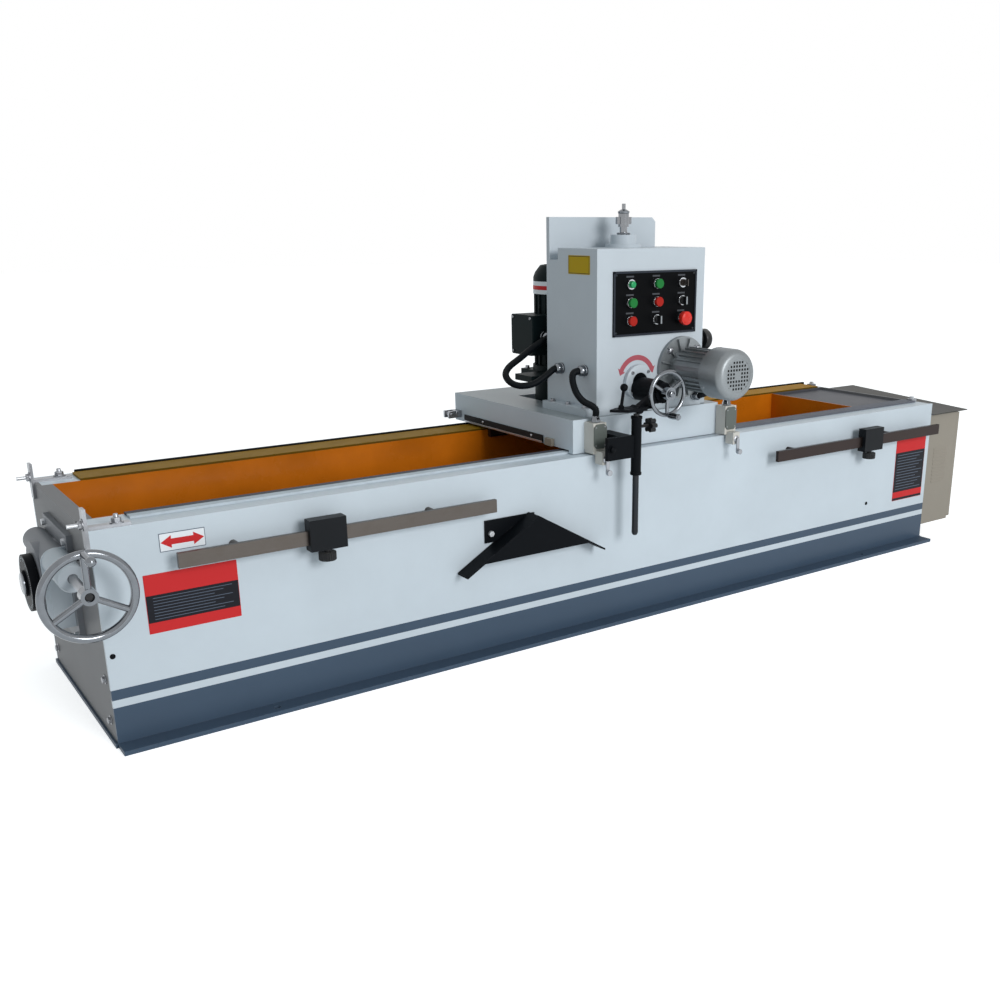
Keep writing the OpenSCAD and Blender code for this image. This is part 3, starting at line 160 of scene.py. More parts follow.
def build_paint_group():
    """Sprayed paint: soft mottling, orange peel, and a mask of rubbed edges."""
    tree, given, result, place = shader_group(
        "sprayed_paint", Paint=(1, 1, 1, 1), Under=(0.3, 0.3, 0.3, 1), Mottle=0.1, Wear=0.5, Gloss=0.4)
    broad = noise(tree, place, Scale=3.5, Detail=6.0, Roughness=0.6)
    chips = noise(tree, place, Scale=38.0, Detail=8.0, Roughness=0.75)
    plain = maths(tree, "SUBTRACT", 1.0, given["Mottle"])
    mottled = maths(tree, "MULTIPLY", mapped(tree, broad, start=0.3, stop=0.7), given["Mottle"])
    toned = mixed(tree, 1.0, given["Paint"], maths(tree, "ADD", plain, mottled), "MULTIPLY")
    rounded = put(tree, "ShaderNodeBevel", {"samples": 4}, Radius=2.2 * MM).outputs["Normal"]
    flat = put(tree, "ShaderNodeNewGeometry").outputs["Normal"]
    meeting = vectors(tree, "DOT_PRODUCT", rounded, flat)["Value"]
    edge = maths(tree, "MULTIPLY", maths(tree, "SUBTRACT", 1.0, meeting), 7.0, True)
    patchy = maths(tree, "MULTIPLY", edge, mapped(tree, chips, start=0.52, stop=0.62))
    worn = maths(tree, "MULTIPLY", patchy, given["Wear"], True)
    feed(tree, result, {"Colour": mixed(tree, worn, toned, given["Under"]),
                        "Roughness": maths(tree, "ADD", given["Gloss"], mapped(tree, broad, -0.08, 0.08)),
                        "Height": noise(tree, place, Scale=260.0, Detail=2.0)})
    return tree


def build_grain_group():
    """Drawn or ground metal: fine lines along one way, with stains."""
    tree, given, result, place = shader_group(
        "ground_lines", Metal=(0.6, 0.6, 0.6, 1), Stain=(0.2, 0.16, 0.12, 1), Lines=(1, 1, 1),
        Stained=0.2, Gloss=0.3)
    stretched = vectors(tree, "MULTIPLY", place, given["Lines"])["Vector"]
    lines = noise(tree, stretched, Scale=1.0, Detail=4.0, Roughness=0.7)
    stains = noise(tree, place, Scale=14.0, Detail=7.0, Roughness=0.65)
    tone = mixed(tree, 1.0, given["Metal"], mapped(tree, lines, 0.78, 1.12), "MULTIPLY")
    dirt = maths(tree, "MULTIPLY", mapped(tree, stains, start=0.45, stop=0.75), given["Stained"], True)
    rough = maths(tree, "ADD", given["Gloss"], mapped(tree, lines, -0.1, 0.12))
    feed(tree, result, {"Colour": mixed(tree, dirt, tone, given["Stain"]), "Height": lines,
                        "Roughness": maths(tree, "ADD", rough, maths(tree, "MULTIPLY", dirt, 0.3))})
    return tree


def build_mould_group():
    """Moulded plastic and rubber: a fine grain and a dusty bloom on what faces up."""
    tree, given, result, place = shader_group(
        "moulded_grain", Body=(0.02, 0.02, 0.02, 1), Dust=(0.35, 0.34, 0.32, 1),
        Dusty=0.15, Gloss=0.4, Grain=700.0)
    grain = noise(tree, place, Scale=given["Grain"], Detail=2.0)
    drift = noise(tree, place, Scale=22.0, Detail=5.0)
    rise = axes(tree, "ShaderNodeNewGeometry", "Normal")["Z"]
    upward = maths(tree, "MULTIPLY", maths(tree, "SUBTRACT", rise, 0.2), 1.4, True)
    dust = maths(tree, "MULTIPLY", upward, given["Dusty"])
    dust = maths(tree, "MULTIPLY", dust, mapped(tree, drift, 0.2, 1.6), True)
    rough = maths(tree, "ADD", given["Gloss"], mapped(tree, drift, -0.07, 0.09))
    feed(tree, result, {"Colour": mixed(tree, dust, given["Body"], given["Dust"]), "Height": grain,
                        "Roughness": maths(tree, "ADD", rough, maths(tree, "MULTIPLY", dust, 0.5))})
    return tree


PAINT_GROUP = build_paint_group()
GRAIN_GROUP = build_grain_group()
MOULD_GROUP = build_mould_group()


# Finishes


def shaded(name):
    """A new material, its tree and the inputs of its shader."""
    material = bpy.data.materials.new(name)
    material.use_nodes = True
    return material, material.node_tree, material.node_tree.nodes["Principled BSDF"].inputs


def finish_with(name, group, bump, constants, **sockets):
    """A material whose colour, roughness and bump come from one shared group."""
    material, tree, inputs = shaded(name)
    layer = put(tree, "ShaderNodeGroup", {"node_tree": group}, **sockets).outputs
    relief = put(tree, "ShaderNodeBump", Strength=bump, Distance=0.5 * MM, Height=layer["Height"])
    feed(tree, inputs, {"Base Color": layer["Colour"], "Roughness": layer["Roughness"],
                        "Normal": relief.outputs["Normal"], **constants})
    return material


def painted(name, colour, gloss=0.42, mottle=0.07, wear=0.35, under=srgb(120, 118, 114), shine=0.22):
    return finish_with(name, PAINT_GROUP, 0.06, {"Specular IOR Level": shine},
                       Paint=colour, Under=under, Mottle=mottle, Wear=wear, Gloss=gloss)


def metal(name, colour, lines, gloss=0.3, stained=0.2, bump=0.12, metallic=1.0, shine=0.25):
    return finish_with(name, GRAIN_GROUP, bump, {"Metallic": metallic, "Specular IOR Level": shine},
                       Metal=colour, Stain=srgb(70, 60, 50), Lines=lines, Stained=stained, Gloss=gloss)


def moulded(name, colour, gloss=0.4, dusty=0.15, grain=700.0, bump=0.1, shine=0.28):
    return finish_with(name, MOULD_GROUP, bump, {"Specular IOR Level": shine},
                       Body=colour, Gloss=gloss, Dusty=dusty, Grain=grain)


def printed(name, colour):
    return moulded(name, colour, gloss=0.45, dusty=0.0, bump=0.02, shine=0.12)


def varied(material, socket, colour):
    """The same material, with one colour of its shared group worked out from the place and the normal."""
    tree = material.node_tree
    layer = next(node for node in tree.nodes if node.type == "GROUP")
    place = axes(tree, "ShaderNodeTexCoord", "Object")
    normal = axes(tree, "ShaderNodeNewGeometry", "Normal")
    feed(tree, layer.inputs, {socket: colour(tree, place, normal)})
    return material


WHITE_PAINT = srgb(201, 211, 219)
NAVY_PAINT = srgb(64, 81, 100)
COVER_GREY = srgb(80, 81, 87)
WAY_STEEL = srgb(74, 76, 84)
BAR_PALE = srgb(92, 87, 83)
BRIGHT_STEEL = srgb(158, 161, 166)
CHIPPED_BLACK = srgb(70, 70, 72)
SQUARELY = 0.7  # the share of a face's normal along an axis from which the face counts as turned that way


def wall_colour(tree, place, normal):
    """White walls with a navy foot and a navy stripe above it; the rear beam's inner face is grey."""
    foot_top, stripe_low, stripe_high = 107 * MM, 127 * MM, 154 * MM
    height = place["Z"]
    foot = below(tree, height, foot_top)
    stripe = maths(tree, "MULTIPLY", above(tree, height, stripe_low), below(tree, height, stripe_high))
    inner = maths(tree, "MULTIPLY", above(tree, place["Y"], 0.0), below(tree, normal["Y"], -SQUARELY))
    wall = mixed(tree, inner, WHITE_PAINT, COVER_GREY)
    return mixed(tree, maths(tree, "ADD", foot, stripe, True), wall, NAVY_PAINT)


def way_colour(tree, place, normal):
    """Ways: at the front painted on the left but for a dark inner strip; at the rear oil with a painted
    reflection of the orange trough, brighter and more orange to the right, and painted shade on faces turned
    to the front.
    """
    inner_edge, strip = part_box("front_beam")[1].y, 26 * MM
    bare_from, bare_over = 0.3, 0.25
    # rear colours: oil stain mixed with a painted reflection of the orange trough; the last is painted shade
    # for faces turned to the front
    bare_steel, oil_and_reflection_left = srgb(106, 109, 118), srgb(144, 108, 10)
    oil_and_reflection_right, painted_front_face_shade = srgb(176, 126, 6), srgb(96, 72, 6)
    inner = above(tree, place["Y"], inner_edge - strip)
    rear = above(tree, place["Y"], 0.0)
    bare = maths(tree, "DIVIDE", maths(tree, "SUBTRACT", place["X"], bare_from), bare_over, True)
    # painted shade: faces of the rear way turned to the front are darkened
    side = below(tree, normal["Y"], -SQUARELY)
    front = mixed(tree, bare, mixed(tree, inner, WHITE_PAINT, WAY_STEEL), bare_steel)
    oiled = mixed(tree, side, mixed(tree, bare, oil_and_reflection_left, oil_and_reflection_right), painted_front_face_shade)
    return mixed(tree, rear, front, oiled)


def carriage_colour_with_top_shade(tree, place, normal):
    """White, with painted shade darkening what faces up."""
    return mixed(tree, above(tree, normal["Z"], SQUARELY), WHITE_PAINT, srgb(152, 160, 164))


def cover_colour(tree, place, normal):
    """Grey, darker on the cabinet's lid."""
    return mixed(tree, above(tree, place["X"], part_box("right_end_plate")[1].x), COVER_GREY, srgb(56, 55, 51))


def bar_colour(tree, place, normal):
    """Drawn steel, darker on the right-hand bar."""
    return mixed(tree, above(tree, place["X"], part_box("head_box")[1].x), BAR_PALE, srgb(60, 52, 51))


WALL_WHITE = varied(painted("wall_white_with_stripes", WHITE_PAINT, gloss=0.36), "Paint", wall_colour)
WAY_FINISH = varied(metal("way_steel", WAY_STEEL, (6, 900, 900), gloss=0.55, stained=0.2, metallic=0.0,
                          bump=0.03, shine=0.08), "Metal", way_colour)
CARRIAGE_WHITE = varied(painted("carriage_white", WHITE_PAINT, gloss=0.38), "Paint", carriage_colour_with_top_shade)
COVER = varied(painted("cover_grey", COVER_GREY, gloss=0.45, shine=0.12), "Paint", cover_colour)
STOP_BAR = varied(metal("stop_bar_steel", BAR_PALE, (8, 700, 700), gloss=0.36, stained=0.25),
                  "Metal", bar_colour)
WHITE = painted("cast_white", srgb(194, 202, 209), gloss=0.38)
NAVY = painted("foot_navy", NAVY_PAINT, gloss=0.45, wear=0.6)
END_GREY = painted("end_plate_grey", srgb(115, 115, 117), gloss=0.5)
GEAR_PAINT = painted("gearbox_grey", srgb(128, 130, 135), gloss=0.45)
ORANGE = painted("trough_orange", srgb(206, 112, 14), gloss=0.28, mottle=0.3, wear=0.2)
BEIGE = painted("cabinet_beige", srgb(146, 139, 128), gloss=0.45, wear=0.2)
IRON = painted("table_iron", srgb(104, 104, 106), gloss=0.5, mottle=0.2)
BLACKED = painted("blacked_steel", srgb(12, 15, 19), gloss=0.42, mottle=0.25, wear=0.5,
                  under=CHIPPED_BLACK, shine=0.05)
DOG_BLACK = painted("dog_black", srgb(21, 24, 28), gloss=0.42, mottle=0.2, wear=0.5,
                    under=CHIPPED_BLACK, shine=0.12)
GREEN = painted("motor_green", srgb(24, 35, 37), gloss=0.45, mottle=0.25, wear=0.4, shine=0.05)
STEEL_X = metal("drawn_steel_along_bed", srgb(84, 78, 75), (8, 700, 700), gloss=0.36, stained=0.25)
STEEL_Z = metal("drawn_steel_upright", BRIGHT_STEEL, (700, 700, 10), gloss=0.26, stained=0.15)
STEEL_ROD = metal("dark_rod_steel", srgb(46, 50, 54), (700, 700, 10), gloss=0.3, stained=0.3)
ZINC = metal("zinc_fasteners", BRIGHT_STEEL, (240, 240, 240), gloss=0.34, stained=0.3)
BOLT_ZINC = metal("bright_zinc_bolts", srgb(205, 208, 212), (240, 240, 240), gloss=0.36, stained=0.15,
                  metallic=0.6)
CHUCK = metal("chuck_steel", BRIGHT_STEEL, (10, 500, 500), gloss=0.3, stained=0.3)
BRIGHT = metal("polished_chrome", srgb(122, 126, 131), (60, 60, 60), gloss=0.13, stained=0.06, bump=0.01)
CAPSTAN = metal("capstan_chrome", srgb(146, 149, 153), (60, 60, 60), gloss=0.08, stained=0.1, bump=0.01)
BEZEL = metal("bright_bezels", srgb(206, 209, 213), (60, 60, 60), gloss=0.12, stained=0.05, bump=0.01)
KEY_STEEL = metal("dull_key_steel", srgb(92, 87, 84), (60, 60, 60), gloss=0.3, stained=0.2, bump=0.02)
SILVER = metal("motor_casting", srgb(138, 143, 146), (300, 300, 300), gloss=0.42, stained=0.12, bump=0.25,
               metallic=0.75)
BLACK_MOULD = moulded("black_moulding", srgb(20, 21, 23), gloss=0.38)
RUBBER = moulded("wiper_rubber", srgb(13, 13, 14), gloss=0.6, dusty=0.05, shine=0.15)
CONDUIT = moulded("conduit_sheath", srgb(12, 16, 20), gloss=0.4, dusty=0.02, grain=300.0, shine=0.06)
SWITCH = moulded("switch_die_cast", srgb(200, 197, 190), gloss=0.45, dusty=0.1)
SWITCH_COVER = moulded("switch_lid", srgb(92, 98, 94), gloss=0.42, dusty=0.1)
PANEL = moulded("panel_black", srgb(7, 8, 10), gloss=0.4, dusty=0.0, grain=1200.0, shine=0.04)
PANEL_RIM = moulded("panel_rim_grey", srgb(46, 50, 58), gloss=0.4, dusty=0.0, shine=0.1)
GREEN_CAP = moulded("green_cap", srgb(20, 150, 88), gloss=0.25, dusty=0.05, bump=0.03)
RED_CAP = moulded("red_cap", srgb(214, 44, 34), gloss=0.25, dusty=0.05, bump=0.03)
GREEN_HEAD = moulded("green_head", srgb(34, 118, 56), gloss=0.3, dusty=0.05, bump=0.03, shine=0.1)
RED_HEAD = moulded("red_head", srgb(168, 36, 28), gloss=0.3, dusty=0.05, bump=0.03, shine=0.1)
STONE = moulded("abrasive_stone", srgb(196, 188, 172), gloss=0.85, dusty=0.0, grain=900.0, bump=0.8)
# painted shade: a near black for thin sheets that stand for the shade inside openings
PAINTED_RECESS_SHADE = moulded("painted_recess_shade", srgb(12, 12, 13), gloss=0.8, dusty=0.0)
PRINT_RED = printed("red_print", srgb(200, 46, 48))
PRINT_DARK = printed("dark_print", srgb(27, 28, 34))
PRINT_YELLOW = printed("yellow_print", srgb(182, 152, 0))
PRINT_ROSE = printed("rose_print", srgb(172, 88, 98))
PRINT_GREY = printed("grey_print", srgb(90, 100, 115))
PRINT_WHITE = printed("white_print", srgb(232, 236, 240))
PRINT_PALE = printed("pale_print", srgb(150, 154, 158))
PRINT_DIM = printed("dim_print", srgb(72, 74, 78))

NODE_FINISH = [
    (NAVY, "base_frame"), (WALL_WHITE, "front_beam rear_beam"), (END_GREY, "left_end_plate right_end_plate"),
    (ORANGE, "trough_liner"), (WAY_FINISH, "way_bars"), (BOLT_ZINC, "bed_bolts"), (STOP_BAR, "stop_bars"),
    (ZINC, "rail_brackets worm_shaft switch_lever_left switch_lever_right"), (COVER, "trough_cover"),
    (BLACKED, "feed_ramp angle_dial rod_bracket feed_housing pawl_lever"),
    (BEIGE, "cabinet_box cabinet_door"),
    (GEAR_PAINT, "gearbox_housing traverse_reducer"), (IRON, "table_bearing knife_table"),
    (STEEL_X, "drive_rack worm_wheel slide_shoes"), (CHUCK, "magnetic_chuck"),
    (CARRIAGE_WHITE, "carriage_plate"),
    (BRIGHT, "tilt_handwheel tilt_handle feed_handwheel"), (WHITE, "head_box column_plate"),
    (PANEL, "control_panel"), (SILVER, "traverse_motor"), (SWITCH, "limit_switches"),
    (STEEL_Z, "drive_pinion"),
    (CONDUIT, "switch_conduits motor_conduit"), (GREEN, "head_slide grinding_motor wheel_guard"),
    (STONE, "cup_wheel"), (CAPSTAN, "feed_screw"), (STEEL_ROD, "push_rod"), (KEY_STEEL, "key_switch"),
    (BLACK_MOULD, "rod_knob dog_screw_left dog_screw_right speed_selector mode_selector"),
    (DOG_BLACK, "trip_dog_left trip_dog_right"), (GREEN_CAP, "wheel_start_button travel_start_button"),
    (RED_CAP, "wheel_stop_button travel_stop_button emergency_stop"),
]


def ease_edges(thing, width, degrees):
    """A small round on the edges that turn by more than an angle."""
    eased = thing.modifiers.new("eased_edges", "BEVEL")
    eased.width = width * MM
    eased.segments = 2
    eased.limit_method = "ANGLE"
    eased.angle_limit = math.radians(degrees)


def dress_nodes():
    """Gives every carried-over solid its finish and a small rounded edge."""
    for finish, names in NODE_FINISH:
        for name in names.split():
            solid = NODES[name]
            solid.data.materials.clear()
            solid.data.materials.append(finish)
            ease_edges(solid, 1.2, 40)


# Shapes of the added pieces


def off(point, x, y, z):
    """A point moved by millimetres."""
    return Vector([start + size * MM for start, size in zip(point, (x, y, z))])


def polar(radius, degrees):
    return radius * math.cos(math.radians(degrees)), radius * math.sin(math.radians(degrees))


def facing(origin, right=RIGHT, up=UP):
    """A frame on a surface: X to the right, Y up, Z out towards the viewer."""
    across, rise = Vector(right).normalized(), Vector(up).normalized()
    turn = Matrix((across, rise, across.cross(rise))).transposed().to_4x4()
    return Matrix.Translation(Vector(origin)) @ turn


def lifted(place, x, y, z):
    """A frame moved by millimetres along its own axes."""
    return place @ Matrix.Translation(off(ORIGIN, x, y, z))


def add_box(shape, origin, low, high):
    """A box between two corners, each measured from a point."""
    low, high = off(origin, *low), off(origin, *high)
    place = Matrix.Translation((low + high) / 2) @ Matrix.Diagonal((*(high - low), 1.0))
    bmesh.ops.create_cube(shape, size=1.0, matrix=place)


def ring(shape, place, spots):
    """Points of a shape, in millimetres in a frame."""
    return [shape.verts.new(place @ off(ORIGIN, *spot)) for spot in spots]


def skin(shape, rings):
    """Faces from ring to ring; a ring of one point is a tip."""
    for low, high in zip(rings, rings[1:]):
        for k in range(max(len(low), len(high))):
            near, far = (k % len(low), (k + 1) % len(low)), ((k + 1) % len(high), k % len(high))
            corners = list(dict.fromkeys([low[near[0]], low[near[1]], high[far[0]], high[far[1]]]))
            if len(corners) > 2:
                shape.faces.new(corners)


def add_turned(shape, profile, origin, axis, steps=48):
    """A turned form from (radius, height) pairs along an axis."""
    turn = UP.rotation_difference(Vector(axis).normalized()).to_matrix().to_4x4()
    place = Matrix.Translation(Vector(origin)) @ turn
    angles = [360 * k / steps for k in range(steps)]
    skin(shape, [ring(shape, place, [(*polar(r, a), h) for a in (angles if r else [0])]) for r, h in profile])


def add_prism(shape, outline, place, depth):
    """A flat outline in a frame's X and Y, given depth along its Z."""
    low, high = (ring(shape, place, [(x, y, z) for x, y in outline]) for z in (0, depth))
    shape.faces.new(list(reversed(low)))
    shape.faces.new(high)
    skin(shape, [low, high])


def add_bolt(shape, origin, axis, radius, height):
    """A hexagon head with a chamfered top, on a round washer."""
    base, washer, chamfer = 0.28 * height, 1.35 * radius, 0.8 * radius
    add_turned(shape, rod(washer, base), origin, axis, 32)
    add_turned(shape, [(0, base), (radius, base), (radius, base + 0.85 * height), (chamfer, base + height),
                       (0, base + height)], origin, axis, 6)


def add_socket_screw(shape, origin, axis, radius, height):
    """A round head with a recess."""
    recess, floor = 0.5 * radius, 0.4 * height
    add_turned(shape, [(0, 0), (radius, 0), (radius, 0.8 * height), (0.86 * radius, height), (recess, height),
                       (recess, floor), (0, floor)], origin, axis, 24)


def add_pan_screw(shape, origin, axis, radius):
    """A low domed head."""
    flatness = 0.45
    dome = [(x, flatness * y) for x, y in (polar(radius, 15 * k) for k in range(6))]
    add_turned(shape, [(radius, -0.2 * flatness * radius), *dome, (0, flatness * radius)], origin, axis, 20)


def rod(radius, height):
    """The profile of a plain round bar."""
    return [(0, 0), (radius, 0), (radius, height), (0, height)]


def rounded_outline(width, height, radius, steps=6):
    """A rectangle round the origin with round corners."""
    points = []
    for sx, sy, start in ((1, 1, 0), (-1, 1, 90), (-1, -1, 180), (1, -1, 270)):
        for k in range(steps + 1):
            x, y = polar(radius, start + 90 * k / steps)
            points.append((sx * (width / 2 - radius) + x, sy * (height / 2 - radius) + y))
    return points


def add_plate(shape, place, width, height, thickness, radius):
    add_prism(shape, rounded_outline(width, height, radius), place, thickness)


def add_object(name, data):
    made = bpy.data.objects.new(name, data)
    scene.collection.objects.link(made)
    return made


def new_object(name, shape, finish):
    """A smooth object of a shape."""
    for surface in shape.faces:
        surface.smooth = True
    mesh = bpy.data.meshes.new(name)
    shape.to_mesh(mesh)
    shape.free()
    made = add_object(name, mesh)
    mesh.materials.append(finish)
    return made


def piece(name, shape, finish, body, edge=0.0):
    """An object with crisp corners that rides on its body."""
    sharp = 38
    bmesh.ops.recalc_face_normals(shape, faces=shape.faces)
    for line in shape.edges:
        if len(line.link_faces) == 2 and line.calc_face_angle(0.0) > math.radians(sharp):
            line.smooth = False
    made = new_object(name, shape, finish)
    if edge:
        ease_edges(made, edge, sharp)
    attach(made, body)
    return made


def make(name, finish, body, slot, edge, *parts):
    """A piece built from parts, each a function that adds to a shape and what it is told."""
    shape = bmesh.new()
    for add, *told in parts:
        add(shape, *told)
    return piece(name, shape, finish, body, edge)


def mid(node):
    low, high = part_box(node)
    return (low + high) / 2


def at_depth(node, y):
    """The middle of a node, at a depth."""
    return Vector((mid(node).x, y, mid(node).z))


def at_height(node, z):
    """The middle of a node, at a height."""
    return Vector((mid(node).x, mid(node).y, z))


dress_nodes()

BED_LOW, BED_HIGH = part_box("front_beam")
BED_LEFT, BED_RIGHT = BED_LOW.x, BED_HIGH.x
BED_FRONT, BED_REAR, BED_TOP = BED_LOW.y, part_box("rear_beam")[1].y, BED_HIGH.z
BED_CORNER = Vector((BED_LEFT, BED_FRONT, 0))
CARRIAGE_LOW, CARRIAGE_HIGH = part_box("carriage_plate")
HEAD_LOW, HEAD_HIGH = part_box("head_box")
PANEL_LOW, PANEL_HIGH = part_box("control_panel")
COLUMN_LOW, COLUMN_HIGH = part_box("column_plate")
HEAD_LEFT, HEAD_RIGHT, HEAD_FRONT = COLUMN_LOW.x, COLUMN_HIGH.x, PANEL_HIGH.y
PANEL_FACE = HEAD_FRONT - 4 * MM
SIGNS = [(-1, -1), (-1, 1), (1, -1), (1, 1)]
QUARTERS = (45, 135, 225, 315)


# Bed


def ruled_lines(name, place, width, height, rows):
    """Plain rules, as on an empty form."""
    pitch, indent, parts = height / (rows + 1), 0.07 * width, []
    for row in range(rows):
        length = width * (0.86 - 0.1 * (row % 3))
        rule = lifted(place, (length - width) / 2 + indent, height / 2 - (row + 1) * pitch, 0)
        parts.append((add_plate, rule, length, 0.22 * pitch, 0.2, 0.08 * pitch))
    make(name, PRINT_GREY, "bed", "white_paint", 0, *parts)


def front_plate(name, left, right, low, high, bands, border, inset=1.0, rows=0):
    """A thin plate on the front wall, in coloured bands from top to bottom."""
    thickness, print_depth, parting = 0.8, 0.3, 0.4
    place = facing(off(BED_CORNER, (left + right) / 2, 0, (low + high) / 2))
    width, height = right - left, high - low
    make(name, border, "bed", "white_paint", 0, (add_plate, place, width, height, thickness, 1.5))
    top, open_width, open_height = height / 2 - inset, width - 2 * inset, height - 2 * inset
    for number, (share, finish) in enumerate(bands):
        depth = share * open_height
        centre = lifted(place, 0, top - depth / 2, thickness)
        make(f"{name}_band_{number}", finish, "bed", "white_paint", 0,
             (add_plate, centre, open_width, depth - parting, print_depth, 1))
        if rows and finish is PRINT_DARK and share > 0.3:
            ruled_lines(f"{name}_rules", lifted(centre, 0, 0, print_depth), open_width, depth, rows)
        top -= depth


def double_arrow(length, width, head, shaft):
    """The outline of an arrow with a head at both ends."""
    half, inner = length / 2, length / 2 - head
    return [(-half, 0), (-inner, -width / 2), (-inner, -shaft / 2), (inner, -shaft / 2), (inner, -width / 2),
            (half, 0), (inner, width / 2), (inner, shaft / 2), (-inner, shaft / 2), (-inner, width / 2)]


def bed_labels():
    """Plain coloured plates, and the arrow that shows the carriage's travel."""
    front_plate("left_notice_plate", 107, 338, 278, 430,
                [(0.35, PRINT_RED), (0.47, PRINT_DARK), (0.18, PRINT_RED)], PRINT_RED, rows=8)
    front_plate("right_notice_plate", 2967, 3148, 189, 432,
                [(0.2, PRINT_RED), (0.66, PRINT_DARK), (0.1, PRINT_RED), (0.04, PRINT_DARK)],
                PRINT_RED, rows=13)
    left, right, low, high, proud = 155, 267, 481, 528, 1.1
    front_plate("travel_plate", left, right, low, high, [(1.0, PRINT_WHITE)], PRINT_GREY, 1.6)
    place = facing(off(BED_CORNER, (left + right) / 2, -proud, (low + high) / 2))
    arrow = double_arrow(length=106, width=32, head=26, shaft=15)
    make("travel_arrow", PRINT_RED, "bed", "signal_red", 0, (add_prism, arrow, place, 0.3))


def bed_hardware():
    """The black strip along the rear edge, the rail brackets' nuts, and screws in front and end walls."""
    inset, width, height, length = 118, 11, 10, (BED_RIGHT - BED_LEFT) / MM
    make("rear_rail_strip", BLACKED, "bed", "black_metal", 1.5,
         (add_box, (BED_LEFT, BED_REAR, BED_TOP), (inset, -width, 0), (length, 0, height)))
    low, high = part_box("rail_brackets")
    half_upright, arm_top, screw_up, bolt_in = 15, 8, 14, 68
    stud = [(0, 0), (6, 0), (6, 20), (4.6, 22), (0, 22)]
    parts = []
    for y in (low.y + half_upright * MM, high.y - half_upright * MM):
        bolt = off((BED_LEFT, y, BED_TOP), bolt_in, 0, arm_top)
        parts += [(add_bolt, off((low.x, y, BED_TOP), 0, 0, screw_up), LEFT, 11, 8),
                  (add_bolt, bolt, UP, 12, 11), (add_turned, stud, bolt, UP, 24)]
    make("bracket_nuts", ZINC, "bed", "steel", 0.4, *parts)
    make("wall_screws", BLACKED, "bed", "black_metal", 0,
         *[(add_pan_screw, off(BED_CORNER, x, 0, z), FRONT, 7) for x, z in ((15, 242), (2809.5, 204.8))])
    wall = Vector((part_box("left_end_plate")[0].x, 0, 0))
    make("end_plate_bolts", ZINC, "bed", "steel", 0.4,
         *[(add_bolt, off(wall, 3, y, z), LEFT, 9, 7) for y in (-300, 300) for z in (60, 170)])


def gearbox_dress():
    """The white front face, the sleeve round the worm shaft and the filler plug of the worm gearbox."""
    low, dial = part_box("gearbox_housing")[0], mid("angle_dial")
    drum, tunnel, corner, small = 105, 34, 36, 5
    width, height, thickness, inset = 75, 214, 6, 0.82
    half, tall = width / 2, height / 2
    outline = [(half, -tall), (half, tall)]
    for k in range(9):
        x, y = polar(corner, 90 + 90 * k / 8)
        outline.append((corner - half + x, tall - corner + y))
    outline += [(-half, small - tall), (small - half, -tall)]
    inlay = [(inset * x + 4, (1 - (1 - inset) * width / height) * z - 3) for x, z in outline]
    place = facing(off((low.x, 0, dial.z), half, -drum, 3))
    reach = -low.y / MM - drum
    sleeve = [(tunnel, 0), (tunnel + 1.4, 0), (tunnel + 1.4, reach - 2), (tunnel - 1, reach + 1.4),
              (12, reach + 1.4), (12, reach)]
    make("gearbox_face", WHITE, "bed", "white_paint", 1, (add_prism, outline, place, thickness),
         (add_prism, inlay, lifted(place, 0, 0, thickness), 1.6),
         (add_turned, sleeve, at_depth("worm_shaft", -drum * MM), FRONT, 56))
    make("filler_plug", BLACKED, "bed", "black_metal", 0.3,
         (add_bolt, off((low.x, 0, dial.z), 24, -58, 86), (0, -0.55, 0.83), 9, 9))


def dial_dress():
    """The dial's bright boss and its division marks."""
    centre = Vector((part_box("angle_dial")[0].x, 0, mid("angle_dial").z))
    boss = [(0, 0), (30, 0), (30, 3), (26, 5), (0, 5)]
    make("dial_boss", BRIGHT, "table", "chrome", 0.5, (add_turned, boss, centre, LEFT))
    rim, ring_in, parts = 70, 6, []
    for k in range(72):
        length = 12 if k % 6 == 0 else 7
        y, z = polar(1, 5 * k)
        out, across = Vector((0, y, z)), Vector((0, -z, y))
        place = facing(off(centre, ring_in, 0, 0) + out * ((rim - length / 2) * MM), across, out)
        parts.append((add_plate, place, 0.9, length, 0.3, 0.2))
    make("dial_marks", PRINT_WHITE, "table", "white_paint", 0, *parts)


def handwheel_dress():
    """The large wheel's hub cap and its round shaft end."""
    hub = at_depth("worm_shaft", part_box("worm_shaft")[0].y)
    cap, cap_height = [(0, 0), (14, 0), (15, 2), (15, 6), (11, 9), (0, 9)], 9
    make("hub_cap", BRIGHT, "tilt_drive", "chrome", 0.5, (add_turned, cap, hub, FRONT))
    end = [(0, 0), (10, 0), (10, 2), (8.6, 3.4), (0, 3.4)]
    make("shaft_end", STEEL_ROD, "tilt_drive", "steel", 0,
         (add_turned, end, off(hub, 0, -cap_height, 0), FRONT, 40))


def dog_dress(node, body):
    """The ribs of a trip dog's thumb screw."""
    count, spread, radius, tall, lift = 22, 21.2, 2.4, 20, 1
    foot = at_height(node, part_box(node)[0].z)
    spots = [off(foot, *polar(spread, 360 * k / count), lift) for k in range(count)]
    make(f"{node}_ribs", BLACK_MOULD, body, "black_plastic", 0,
         *[(add_turned, rod(radius, tall), spot, UP, 8) for spot in spots])


